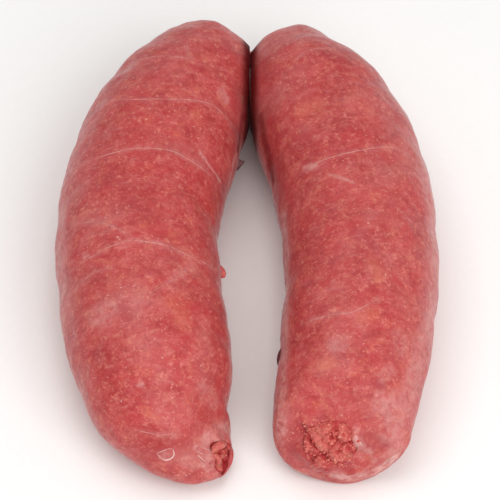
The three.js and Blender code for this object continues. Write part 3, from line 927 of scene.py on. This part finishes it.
# Pale bare gut where it lies double or dry, and painted sheen: pale bands for the sheen on the edges and
# the inner sides.
FILM_AND_PAINTED_SHEEN = {
    "near_left_patch": ([(208, 440), (218, 434), (228, 430)], 2.0, 0.6),
    "near_left_fold": ([(197, 448), (204, 451), (211, 452)], 0.7, 1.0),
    "under_left_fold": ([(207, 462), (213, 471)], 1.5, 0.5),
    "left_low_band": ([(183, 460), (198, 464)], 1.2, 0.35),
    "blister": ([(163, 455), (169, 455)], 1.0, 0.4),
    "left_shoulder_patch": ([(100, 318), (108, 310)], 2.6, 0.35),
    "left_lower_patch": ([(140, 304), (148, 298)], 2.0, 0.25),
    "left_far_patch": ([(222, 92), (225, 100)], 1.3, 0.4),
    "left_scar": ([(200, 152), (210, 166), (220, 181)], 0.35, 0.8),
    "left_speck": ([(86, 256)], 0.7, 0.9),
    "left_low_speck": ([(140, 384)], 0.6, 0.8),
    "right_smear": ([(306, 168), (315, 166)], 0.8, 0.6),
    "right_scar": ([(330, 175), (353, 182)], 0.35, 0.5),
    "right_patch": ([(334, 346), (344, 342)], 1.5, 0.3),
    "right_low_patch": ([(382, 377), (390, 371)], 1.3, 0.35),
    "right_far_strip": ([(254, 134), (258, 158), (266, 182), (275, 204)], 0.7, 0.5),
    "left_far_strip": ([(236, 154), (232, 168), (229, 184), (227, 200)], 0.7, 0.5),
    # Painted sheen: a pale strip for the grey sheen on the inner side of the right link.
    "right_inner_painted_sheen": (
        [(283, 215), (287, 250), (286, 300), (285, 350), (282, 400), (280, 436)],
        1.5,
        0.6,
    ),
    "right_rim": ([(335, 474), (352, 478), (372, 473), (390, 463)], 1.3, 0.8),
    "right_fold_ridge": ([(356, 430), (355, 435), (357, 441), (363, 446), (369, 450)], 0.75, 0.4),
    "right_fold_bright": ([(356, 437), (359, 442)], 0.8, 0.75),
    "right_fold_foot": ([(371, 453), (374, 459)], 0.6, 0.4),
    "right_rim_side": ([(391, 455), (397, 446)], 1.4, 0.45),
    # Painted sheen on the right edge.
    "right_edge_painted_sheen": ([(423, 165), (434, 225), (433, 300), (421, 355), (406, 405)], 2.8, 0.34),
    "right_side_patch": ([(398, 336), (404, 350)], 1.8, 0.25),
    # Painted sheen and light on the left edge and on the left link's inner side.
    "left_edge_painted_sheen": ([(62, 215), (62, 260), (66, 310)], 2.2, 0.25),
    "left_inner_painted_sheen": ([(222, 285), (228, 325), (231, 375), (229, 415)], 0.9, 0.45),
    "left_inner_painted_light": ([(204, 385), (208, 394), (214, 402)], 1.7, 0.32),
    # Painted sheen near the right mouth.
    "right_near_sheen": ([(384, 402), (396, 418), (392, 434)], 2.4, 0.4),
}
# Spots of lean under the gut, and painted shade: darker red beside the line where the links touch and in
# the crevice at the right mouth.
LEAN_AND_SHADE_SPOTS = {
    "right_dark_spot": ([(381, 385)], 0.9, 0.8),
    "right_edge_spot": ([(412, 227)], 0.7, 0.5),
    "right_mid_spot": ([(371, 245), (376, 249)], 0.7, 0.45),
    "left_low_spot": ([(191, 297), (193, 294)], 0.7, 0.5),
    "right_dark_smear": ([(366, 336), (378, 333)], 0.9, 0.6),
    "right_hollow": ([(366, 442), (378, 448)], 2.0, 0.45),
    "right_low_red": ([(325, 470), (331, 474)], 1.6, 0.7),
    "right_low_left_red": ([(308, 462), (318, 470), (330, 475)], 1.5, 0.5),
    "right_left_red": ([(296, 452), (306, 460), (318, 462)], 2.2, 0.5),
    # Painted shade beside the line where the links touch.
    "left_contact_shade": ([(240, 62), (241, 90), (239, 120), (235, 150)], 2.4, 0.35),
    "right_contact_shade": ([(262, 60), (264, 90), (267, 120), (273, 150), (280, 185)], 3.0, 0.45),
    # Painted shade in the crevice at the right mouth.
    "right_crevice": (RIGHT_CREVICE, 0.8, 0.9),
    "left_fold_red": ([(200, 453), (207, 456)], 0.6, 0.6),
    "left_low_red": ([(165, 446), (186, 448)], 2.2, 0.4),
    "left_long_red": ([(140, 205), (150, 212)], 3.0, 0.3),
}
FAT_SPOTS = {
    "right_orange_patch": ([(322, 366), (331, 364)], 1.2, 0.35),
    "right_mid_orange": ([(372, 262), (378, 278)], 1.2, 0.28),
    "right_low_orange": ([(364, 318), (372, 314)], 1.5, 0.25),
    "right_far_orange": ([(304, 110), (318, 106)], 2.0, 0.25),
    "left_orange_patch": ([(176, 300), (184, 322)], 1.8, 0.2),
    "left_low_orange": ([(150, 414), (157, 420)], 0.7, 0.3),
}
# Painted shade along the deep line where the links press on each other: spots placed by pixels, and a band
# by the distance from the plane where they touch.
CONTACT_SHADE_SPOTS = {
    "right_inner": ([(260, 118), (264, 138), (269, 158), (273, 178)], 1.4, 0.5),
    "left_inner": ([(243, 118), (241, 134), (238, 150)], 1.2, 0.5),
}
CONTACT_SHADE_CORE = 0.5  # half width in mm of the darkest line between the links
CONTACT_SHADE_FADE = 2.4  # how far beside that line the skin is still darker
CONTACT_SHADE_MOST = 0.92
RELIEF = {
    "right_fold_ridge": ([(356, 429), (355, 434), (357, 440), (363, 446), (369, 450)], 0.95, 0.7),
    "right_fold_bulge": ([(355, 436), (359, 443)], 1.2, 0.55),
    "left_fold_hollow": ([(199, 452), (207, 455)], 0.7, -0.35),
    "left_far_dent": ([(127, 66)], 2.6, -0.5),
    "left_side_dent": ([(97, 105)], 2.4, -0.4),
    "blister": ([(164, 455), (169, 454)], 1.5, 0.35),
    "left_lip_hollow": ([(214, 463), (220, 476)], 1.4, -0.3),
    "right_hollow": ([(370, 437), (376, 443), (382, 447)], 1.8, -0.9),
    "right_lip_swell": ([(388, 436), (391, 448)], 2.2, 0.35),
    "right_lower_lip": ([(300, 452), (318, 466), (340, 474), (362, 470)], 1.4, 0.4),
    "right_fold_foot": ([(374, 459), (367, 464), (358, 469), (349, 472)], 0.8, 0.5),
    "right_crevice": (RIGHT_CREVICE, 0.55, -0.7),
    "bubbles": ([(378, 349)], 0.45, 0.25),
    "second_bubble": ([(382, 355)], 0.4, 0.2),
}
PATCH_EDGE = 1.6  # above 1, a patch is even in its middle and has a firmer edge


def patched(points, surface, patches, summed=False):
    """The strongest patch at each point, or for relief the sum of them."""
    total = np.zeros(len(points))
    for pixels, radius, strength in patches.values():
        path, _ = seen_at(surface, along_pixels(pixels, 2) if len(pixels) > 1 else pixels)
        if len(path):
            near = nearness(points, path, radius)
            patch = strength * np.minimum(PATCH_EDGE * near, 1)
            total = total + strength * near if summed else np.maximum(total, patch)
    return total


plain_surface = surface_of(skin)
skin_points = points_of(skin)
bands = {name: (pixels, *STRAND_BAND) for name, (pixels, _) in STRANDS.items()}
# The film and sheen field holds pale bare gut and painted sheen.
film_and_sheen = patched(skin_points, plain_surface, {**bands, **FILM_AND_PAINTED_SHEEN})
set_field(skin, "film_and_sheen", np.maximum(film_and_sheen, bareness * BARE_FILM))
# Lean spots and painted shade go into the lean field.
set_field(skin, "lean", patched(skin_points, plain_surface, LEAN_AND_SHADE_SPOTS))
set_field(skin, "fat", patched(skin_points, plain_surface, FAT_SPOTS))
# Painted shade: the skin turns near black towards the plane where the two links touch.
from_contact = np.abs(skin_points[:, 0] - SHIFT[0])
pressed = CONTACT_SHADE_MOST * (1 - ease((from_contact - CONTACT_SHADE_CORE) / CONTACT_SHADE_FADE))
pressed = np.maximum(pressed, patched(skin_points, plain_surface, CONTACT_SHADE_SPOTS))
set_field(skin, "pressed", pressed * (1 - bareness))
relief = patched(skin_points, plain_surface, RELIEF, summed=True)
set_field(skin, "rise", np.maximum(relief, -deepest_dent) * MM)
print("film_and_sheen", film_and_sheen.max().round(2), "relief in mm", relief.min().round(2), relief.max().round(2))

SKIN_LUMPS = {"Lump Size": 7 * MM, "Lump Height": 0.9 * MM}
SKIN_CRUMBS = {"Crumb Size": 2.4 * MM, "Crumb Height": 0.35 * MM}
run_tree(skin, lumpy_skin_tree(), {**SKIN_LUMPS, **SKIN_CRUMBS, "Seed": 4.0, "Material": GUT})

# %% [markdown]
# ## The crumbled meat
# The meat fills the gut and swells a little out of each cut mouth. The large lumps are those of the solid
# model. Fine crumbs are added on them, and a few creases that the photo shows are pressed in and painted
# deeper red as shade.

# %% Relief of the meat's face
GOLDEN_ANGLE = math.pi * (3 - math.sqrt(5))
MULTIPLIER, MODULUS = 48271, 2147483647  # of the solid model's row of random numbers
RIM_SHARE = 0.35  # how much of the dome is left at its rim
LOWEST_CRUMB = 0.5
CRUMB_SPREAD = 1.1  # fine crumbs are scattered a little past the rim
CRUMB_RELIEF = 0.8
FULL_CRUMB = 0.5  # a fine crumb this high counts as standing up whole
# Painted shade in the creases: they take the deep red of low pits.
CREASE_SHADE = 0.9  # how much of a crumb's height a crease takes from its colour
FACE_RINGS = 66
FACE_AROUND = 240
CREASES = {
    "right": {
        "long_crevice": ([(308, 436), (313, 444), (320, 448)], 0.6, 1.2),
        "small_pit": ([(331, 433), (332, 437)], 0.4, 0.8),
        "under_the_lump": ([(320, 450), (326, 458), (340, 462)], 0.5, 0.7),
        "beside_the_fold": ([(349, 446), (352, 456)], 0.8, 0.7),
    },
    "left": {
        "slit": ([(228, 447), (227, 455), (224, 465), (220, 473)], 3.0, 0.9),
    },
}


def seeded_random(seed):
    """A row of even random numbers from 0 to 1, the same as in the solid model."""
    state = seed
    while True:
        state = (state * MULTIPLIER) % MODULUS
        yield state / MODULUS


def mouth_frame(link):
    """The middle of the plain mouth in mm, and its directions ahead, across and up."""
    row = through(link["stations"], np.array([0.0]))
    ahead, side, rise = section_axes(row)
    return row[0, :3] + SHIFT, ahead[0], side[0], rise[0]


def on_mouth(link, pixels):
    """Where sight lines meet the swelled face of the meat, in the plane of the mouth."""
    middle, ahead, side, rise = mouth_frame(link)
    top = middle - ahead * link["meat"]["dome"]
    spots = []
    for pixel in pixels:
        way = sight_line(pixel)
        place = EYE + way * ((top - EYE) @ ahead) / (way @ ahead) - top
        spots.append((place @ side, place @ rise))
    return np.array(spots)


def lumps_of(link):
    """The lumps of the solid model: their middles, sizes and how high each stands."""
    meat, radius = link["meat"], link["stations"][0][3]
    random = seeded_random(meat["seed"])
    small, large = meat["size"]
    rows = []
    for i in range(meat["lumps"]):
        reach = radius * math.sqrt((i + 0.5) / meat["lumps"])
        turn = i * GOLDEN_ANGLE + next(random)
        size = small + (large - small) * next(random)
        height = LOWEST_CRUMB + (1 - LOWEST_CRUMB) * next(random)
        rows.append((reach * math.cos(turn), reach * math.sin(turn), size, height))
    return rows


def crumbs_of(link):
    """Fine crumbs scattered over the face, 0.35 to 0.8 mm in radius and 0.3 to 0.9 of that high."""
    random = np.random.default_rng(link["meat"]["seed"])
    count, radius = link["meat"]["crumbs"], link["stations"][0][3] * CRUMB_SPREAD
    reach = radius * np.sqrt(random.random(count))
    turn = random.random(count) * 2 * math.pi
    size = 0.35 + 0.45 * random.random(count)
    height = 0.3 + 0.6 * random.random(count)
    return np.stack([reach * np.cos(turn), reach * np.sin(turn), size, height], 1)


def bumps(spots, rows):
    """The height of round bumps over a plane, the highest one at each spot."""
    most = np.zeros(len(spots))
    for x, y, size, height in rows:
        inside = size**2 - (spots[:, 0] - x) ** 2 - (spots[:, 1] - y) ** 2
        most = np.maximum(most, np.sqrt(np.maximum(inside, 0)) * height)
    return most


def crag_height(link, spots):
    """How far the face stands out at spots in the plane of the mouth, and how high each crumb stands."""
    meat, radius = link["meat"], link["stations"][0][3]
    share = np.minimum(np.hypot(spots[:, 0], spots[:, 1]) / radius, 1)
    bulge = RIM_SHARE + (1 - RIM_SHARE) * np.sqrt(1 - share**2)
    lumps, crumbs = bumps(spots, lumps_of(link)), bumps(spots, crumbs_of(link))
    height = meat["dome"] * bulge + lumps - meat["size"][0] / 2 + crumbs * CRUMB_RELIEF
    crest = 0.5 * np.minimum(lumps / meat["size"][0], 1) + 0.5 * np.minimum(crumbs / FULL_CRUMB, 1)
    # Creases are pressed in, and painted deeper red as shade by lowering the crest.
    for pixels, width, depth in CREASES[link["name"]].values():
        pressed = nearness(spots, on_mouth(link, along_pixels(pixels, 1)), width)
        height = height - depth * pressed
        crest = crest * (1 - CREASE_SHADE * pressed)
    return height, crest


# %% Build the meat of a link
HAIR_GAP = 0.05  # between the core and the gut round it
SHOULDER = 20  # a high power, so that the face stays full almost up to its rim
CRUMBLY_SHOULDER = 0.5  # loose crumbs lie where the shoulder is above this
CRUMBLY_CREST = 0.15  # and the crest is above this


def build_meat(link):
    """The meat as one closed mesh: its fine face first, then its core deep in the gut."""
    angles = section_angles(link, FACE_AROUND)
    core_t = pocket_places(link)[:-1]
    core = pressed_points(link, core_t, angles, wall_at(link, core_t) + HAIR_GAP) + SHIFT
    _, ahead, side, rise = mouth_frame(link)
    rim = core[0]
    middle = rim.mean(0)
    shares = np.linspace(0, 1, FACE_RINGS + 1)[1:]
    face = middle + shares[:, None, None] * (rim - middle)
    flat = face.reshape(-1, 3) - middle
    height, crest = crag_height(link, np.stack([flat @ side, flat @ rise], 1))
    shoulder = np.repeat(np.sqrt(1 - shares**SHOULDER), FACE_AROUND)
    face = (face.reshape(-1, 3) - np.outer(height * shoulder, ahead)).reshape(face.shape)
    rings = np.concatenate([face, core[1:]])
    hidden = np.zeros((len(core) - 1) * FACE_AROUND)
    loose = (shoulder > CRUMBLY_SHOULDER) * (crest > CRUMBLY_CREST)
    crumbly = np.concatenate([loose, hidden]).reshape(rings.shape[:2])
    crest = np.concatenate([crest, hidden]).reshape(rings.shape[:2])
    if link["inner"] > 0:
        rings, crest, crumbly = rings[::-1], crest[::-1], crumbly[::-1]
    piece = lofted("meat_" + link["name"], [rings], MEAT)
    set_field(piece, "crest", with_ends(crest))
    set_field(piece, "crumbly", with_ends(crumbly))
    return piece


meats = {link["name"]: build_meat(link) for link in (LEFT, RIGHT)}
print("meat", {name: len(piece.data.polygons) for name, piece in meats.items()}, "faces")

# %% [markdown]
# ## Loose crumbs
# Loose crumbs of fat and lean, a fraction of a millimetre wide, stick to the open meat, and some have
# spilled over the edges of the right mouth onto the gut. A tree scatters small balls that it squeezes
# and turns at random, half sunk in what they lie on, and gives each its own tone.

# %% Tree: crumbs scattered over a piece
FLATTEST, LONGEST = (0.6, 0.6, 0.6), (1.3, 1.3, 1.3)
ALL_TURNS = (6.28, 6.28, 6.28)
TONE_SEED = 7


def meat_grains_tree():
    """Scatters crumbs of many sizes where a piece is crumbly, each half sunk in it."""
    sizes = {"Spacing": 0.6 * MM, "Per Square Metre": 2e6, "Smallest": 0.2 * MM, "Largest": 0.5 * MM}
    tree, given = new_tree("meat_grains", {**sizes, "Seed": 1})
    seed = given["Seed"]
    crumbly = add(tree, "GeometryNodeInputNamedAttribute", {"Name": "crumbly"}, data_type="FLOAT")
    spread = {
        "Mesh": given["Geometry"],
        "Distance Min": given["Spacing"],
        "Density Max": given["Per Square Metre"],
        "Density Factor": crumbly.outputs[0],
        "Seed": seed,
    }
    spots = add(tree, "GeometryNodeDistributePointsOnFaces", spread, distribute_method="POISSON")
    ball = add(tree, "GeometryNodeMeshIcoSphere", {"Radius": 1.0, "Subdivisions": 2})
    size = add(tree, "FunctionNodeRandomValue", {2: given["Smallest"], 3: given["Largest"], 8: seed})
    squeezes = {0: FLATTEST, 1: LONGEST, 8: seed}
    squeeze = add(tree, "FunctionNodeRandomValue", squeezes, data_type="FLOAT_VECTOR")
    squeezed = {0: squeeze.outputs[0], 3: size.outputs[1]}
    scale = add(tree, "ShaderNodeVectorMath", squeezed, operation="SCALE")
    turns = {0: (0.0, 0.0, 0.0), 1: ALL_TURNS, 8: seed}
    turn = add(tree, "FunctionNodeRandomValue", turns, data_type="FLOAT_VECTOR")
    crumbs = {
        "Points": spots.outputs[0],
        "Instance": ball.outputs[0],
        "Rotation": turn.outputs[0],
        "Scale": scale.outputs[0],
    }
    placed = add(tree, "GeometryNodeInstanceOnPoints", crumbs)
    tone = add(tree, "FunctionNodeRandomValue", {2: 0.0, 3: 1.0, 8: TONE_SEED})
    tones = {"Geometry": placed.outputs[0], "Name": "tone", "Value": tone.outputs[1]}
    toned = add(tree, "GeometryNodeStoreNamedAttribute", tones, data_type="FLOAT", domain="INSTANCE")
    close_tree(tree, toned.outputs[0], given["Material"])
    return tree


# %% Scatter the crumbs
GRAIN_SIZES = {
    "left": {"Spacing": 0.9 * MM, "Smallest": 0.15 * MM, "Largest": 0.3 * MM, "Seed": 3},
    "right": {"Spacing": 0.62 * MM, "Smallest": 0.16 * MM, "Largest": 0.42 * MM, "Seed": 8},
    "rim": {"Spacing": 0.6 * MM, "Smallest": 0.14 * MM, "Largest": 0.34 * MM, "Seed": 5},
}
SPILLED = {
    "top": ([(306, 431), (309, 427), (317, 423), (326, 420), (336, 419), (346, 422), (352, 430)], 1.0, 1.0),
    "left": ([(303, 440), (304, 449), (309, 458)], 0.6, 0.8),
    "low_left": ([(309, 463), (318, 470), (328, 475)], 1.3, 0.7),
    "low": ([(312, 463), (320, 468), (330, 470), (340, 466), (350, 460)], 0.7, 0.8),
    "right": ([(353, 434), (356, 444), (355, 452)], 0.4, 0.6),
}
set_field(skin, "crumbly", patched(points_of(skin), surface_of(skin), SPILLED))
grains_tree = meat_grains_tree()
grains = {}
for name, ground in {**meats, "rim": skin}.items():
    start = new_piece("meat_grains_" + name, ground.data)
    grains[name] = run_tree(start, grains_tree, {**GRAIN_SIZES[name], "Material": GRAIN})

# %% [markdown]
# ## Strands of gut
# Pale strands of membrane cross the links like drawn threads. Each one is a path over the skin and is
# made by a tree: the path becomes a curve, and the curve a thin round bead, mostly sunk in the skin.

# %% Tree: beads along paths
def gut_strands_tree():
    """Turns paths into round beads. The thickness is kept on the points of the path."""
    tree, given = new_tree("gut_strands", {"Sides": 8})
    thickness = add(tree, "GeometryNodeInputNamedAttribute", {"Name": "thickness"}, data_type="FLOAT")
    curve = add(tree, "GeometryNodeMeshToCurve", {"Mesh": given["Geometry"]})
    section = add(tree, "GeometryNodeCurvePrimitiveCircle", {"Resolution": given["Sides"], "Radius": 1.0})
    drawn = {
        "Curve": curve.outputs[0],
        "Profile Curve": section.outputs[0],
        "Scale": thickness.outputs[0],
        "Fill Caps": True,
    }
    bead = add(tree, "GeometryNodeCurveToMesh", drawn)
    close_tree(tree, bead.outputs[0], given["Material"])
    return tree


# %% Make the strands
BEAD_SHOWS = 0.6  # share of a strand's radius that stands out of the skin
THIN_END = 0.25  # a strand thins out to this share of its radius at both ends
STRAND_TAPER = 5  # it thins over a fifth of its length


def build_strands(name, strands, finish, ground):
    """Strands of gut that lie on what the sight lines of their pixels meet."""
    points, thickness, edges = [], [], []
    for pixels, radius in strands.values():
        path, outward = seen_at(ground, along_pixels(pixels, 1.2))
        share = np.linspace(0, 1, len(path))
        full = ease(np.minimum(share, 1 - share) * STRAND_TAPER)
        radii = radius * (THIN_END + (1 - THIN_END) * full)
        first = sum(len(part) for part in points)
        points.append(path - outward * (radii * (1 - BEAD_SHOWS))[:, None])
        thickness.append(radii)
        edges += [(first + i, first + i + 1) for i in range(len(path) - 1)]
    mesh = bpy.data.meshes.new(name)
    mesh.from_pydata((np.vstack(points) * MM).tolist(), edges, [])
    piece = new_piece(name, mesh)
    set_field(piece, "thickness", np.concatenate(thickness) * MM)
    return run_tree(piece, gut_strands_tree(), {"Material": finish})


dressed = surface_of(skin, *meats.values())
strands = build_strands("gut_strands", STRANDS, STRAND_GUT, dressed)

# %% [markdown]
# ## Folds and shreds
# Round the open mouths the gut has slid back and lies in soft folds, and thin torn flaps of it hang at
# the lower rim of the right mouth. On a small blister and on the folds, painted highlights glint almost
# white. A roll of meat with two lobes lies in the left mouth. Small shreds stand out from the inner
# sides, some of gut and two of lean that are painted near black as shade. All of these but the painted
# glints are drawn as flat, tapering ribbons with a rounded section, because that is how soft tissue
# lies. The painted glints are fine beads, made by the same tree as the strands.

# %% Ribbons
RIBBON_SIDES = 16


def ribbon(path, outward, half_widths, half_height):
    """Rings of a flat ribbon along a path. It lies flat on the surface that outward stands on."""
    along = np.gradient(path, axis=0)
    along /= np.linalg.norm(along, axis=1, keepdims=True)
    across = np.cross(along, outward)
    across /= np.linalg.norm(across, axis=1, keepdims=True)
    up = np.cross(across, along)
    turn = np.arange(RIBBON_SIDES) / RIBBON_SIDES * 2 * math.pi
    half_heights = np.minimum(half_height, half_widths)
    wide = half_widths[:, None, None] * across[:, None, :] * np.cos(turn)[None, :, None]
    tall = half_heights[:, None, None] * up[:, None, :] * np.sin(turn)[None, :, None]
    return (path[:, None, :] + wide + tall)[:, ::-1]


def evened(values, times=6):
    """Evens out a path, so that a fold lies softly over small lumps."""
    for _ in range(times):
        values[1:-1] = (values[:-2] + 2 * values[1:-1] + values[2:]) / 4
    return values


# %% Folds, flaps, painted glints and the roll of the left mouth
FOLD_TAPER = 4  # a fold widens over a quarter of its length
FOLD_END = 0.08  # and starts blunt
ROLL_CREST = 0.75  # the roll has the colour of meat that stands up
FOLDS = {
    "left_upper_fold": ([(197, 447), (203, 451), (211, 453)], 0.45, 0.35),
    "left_lower_fold": ([(197, 455), (202, 459), (206, 463), (212, 468)], 0.35, 0.25),
}
RIM_FLAPS = {
    "right_rim_flap": ([(371, 470), (379, 468), (386, 464), (392, 459), (398, 457)], 0.9, 0.3),
    "right_rim_tip": ([(384, 463), (391, 459), (397, 455), (400, 450)], 0.7, 0.3),
}
ROLL = {
    "upper_lobe": ([(226, 444), (220, 445), (215, 448), (212, 453)], 0.9, 0.9),
    "lower_lobe": ([(213, 455), (217, 457), (219, 460), (217, 464)], 0.7, 0.7),
}


def build_folds(name, folds, finish):
    """Soft folds along paths. Each has half its width and half its height."""
    tubes = []
    for pixels, half_width, half_height in folds.values():
        path, outward = seen_at(dressed, along_pixels(pixels, 0.8))
        share = np.linspace(0, 1, len(path))
        taper = np.sqrt(np.clip(np.minimum(share, 1 - share) * FOLD_TAPER + FOLD_END, 0, 1))
        tubes.append(ribbon(evened(path), evened(outward), half_width * taper, half_height))
    return lofted(name, tubes, finish)


folds = build_folds("gut_folds", FOLDS, FOLDED_GUT)
flaps = build_folds("rim_flaps", RIM_FLAPS, FLAP_GUT)
# Painted highlights: almost white glints on the blister and the folds.
edges = build_strands("painted_glint_beads", PAINTED_GLINTS, GLINT_GUT, surface_of(skin, folds))
roll = build_folds("meat_roll_left", ROLL, MEAT)
set_field(roll, "crest", np.full(len(roll.data.vertices), ROLL_CREST))
print("folds", len(folds.data.polygons), "flaps", len(flaps.data.polygons), "faces")

# %% Shreds on the inner sides
# Each has a pixel inside the link and one outside, which find the edge that it hangs from, then its
# pixels with its half width in mm at each, and half its thickness.
EDGE_LOOKS = 60  # how finely an edge is looked for
THINNEST = 0.05
# Painted shade: these two shreds are painted near black.
SHADED_SHREDS = {
    "left_pointed": (
        ((230, 164), (246, 160)),
        [(232, 165, 1.9), (237, 163.5, 1.4), (241, 162.5, 0.7), (244.5, 161.5, 0.06)],
        0.3,
    ),
    "right_dark": (
        ((290, 359), (268, 359)),
        [(282, 347, 0.1), (280.5, 353, 0.5), (280, 360, 0.7), (280.5, 367, 0.5), (282, 372, 0.1)],
        0.35,
    ),
}
GUT_SHREDS = {
    "left_round": (
        ((214, 270), (228, 276)),
        [(218, 265, 0.3), (220.5, 269, 0.7), (222.5, 274, 0.85), (223.5, 278, 0.35)],
        0.3,
    ),
    "right_upper": (
        ((288, 208), (272, 208)),
        [(277, 194, 0.2), (279, 202, 0.4), (281, 209, 0.6), (282, 214, 0.8), (281.5, 218.5, 0.4)],
        0.25,
    ),
    "left_lip": (
        ((224, 456), (242, 456)),
        [
            (228.5, 444, 0.3),
            (230.5, 450, 0.55),
            (230.5, 457, 0.65),
            (228, 465, 0.65),
            (223, 473, 0.5),
            (219.5, 477.5, 0.15),
        ],
        0.6,
    ),
}


def build_shreds(name, shreds, finish):
    """Each shred lies in the plane of the edge that it hangs from, and its foot is in the skin."""
    tubes = []
    for (inside, outside), rows, half_height in shreds.values():
        edge, _ = seen_at(dressed, np.linspace(inside, outside, EDGE_LOOKS))
        depth = (edge[-1] - EYE) @ -BACK
        dense = along_pixels(rows, 0.4)
        ways = np.array([sight_line(row[:2]) for row in dense])
        path = EYE + ways * (depth / (ways @ -BACK))[:, None]
        half_widths = np.maximum(dense[:, 2], THINNEST)
        tubes.append(ribbon(path, np.tile(BACK, (len(path), 1)), half_widths, half_height))
    return lofted(name, tubes, finish)


gut_shreds = build_shreds("gut_shreds", GUT_SHREDS, GUT)
# Painted shade: the two lean shreds are near black.
dark_shreds = build_shreds("dark_shreds", SHADED_SHREDS, SHADED_SHRED_FINISH)
print("shreds", len(gut_shreds.data.polygons) + len(dark_shreds.data.polygons), "faces")

# %% [markdown]
# ## Hand over
# Every piece rides on the one body of the pair. The skin and the shreds stand for the solid casing, and
# the crumbled meat for the two solid fillings.

# %% Finish
HAND_OVER = [
    (skin, ["casing"], "casing_skin"),
    (gut_shreds, ["casing"], "casing_skin"),
    (dark_shreds, [], "ground_meat"),
    (strands, [], "casing_skin"),
    (edges, [], "casing_skin"),
    (flaps, [], "casing_skin"),
    (folds, [], "casing_skin"),
    (roll, [], "ground_meat"),
    (meats["left"], ["filling_left"], "ground_meat"),
    (meats["right"], ["filling_right"], "ground_meat"),
    (grains["left"], [], "ground_meat"),
    (grains["right"], [], "ground_meat"),
    (grains["rim"], [], "ground_meat"),
]
for piece, nodes, slot in HAND_OVER:
    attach(piece, "root")
    if nodes:
        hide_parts(*nodes)
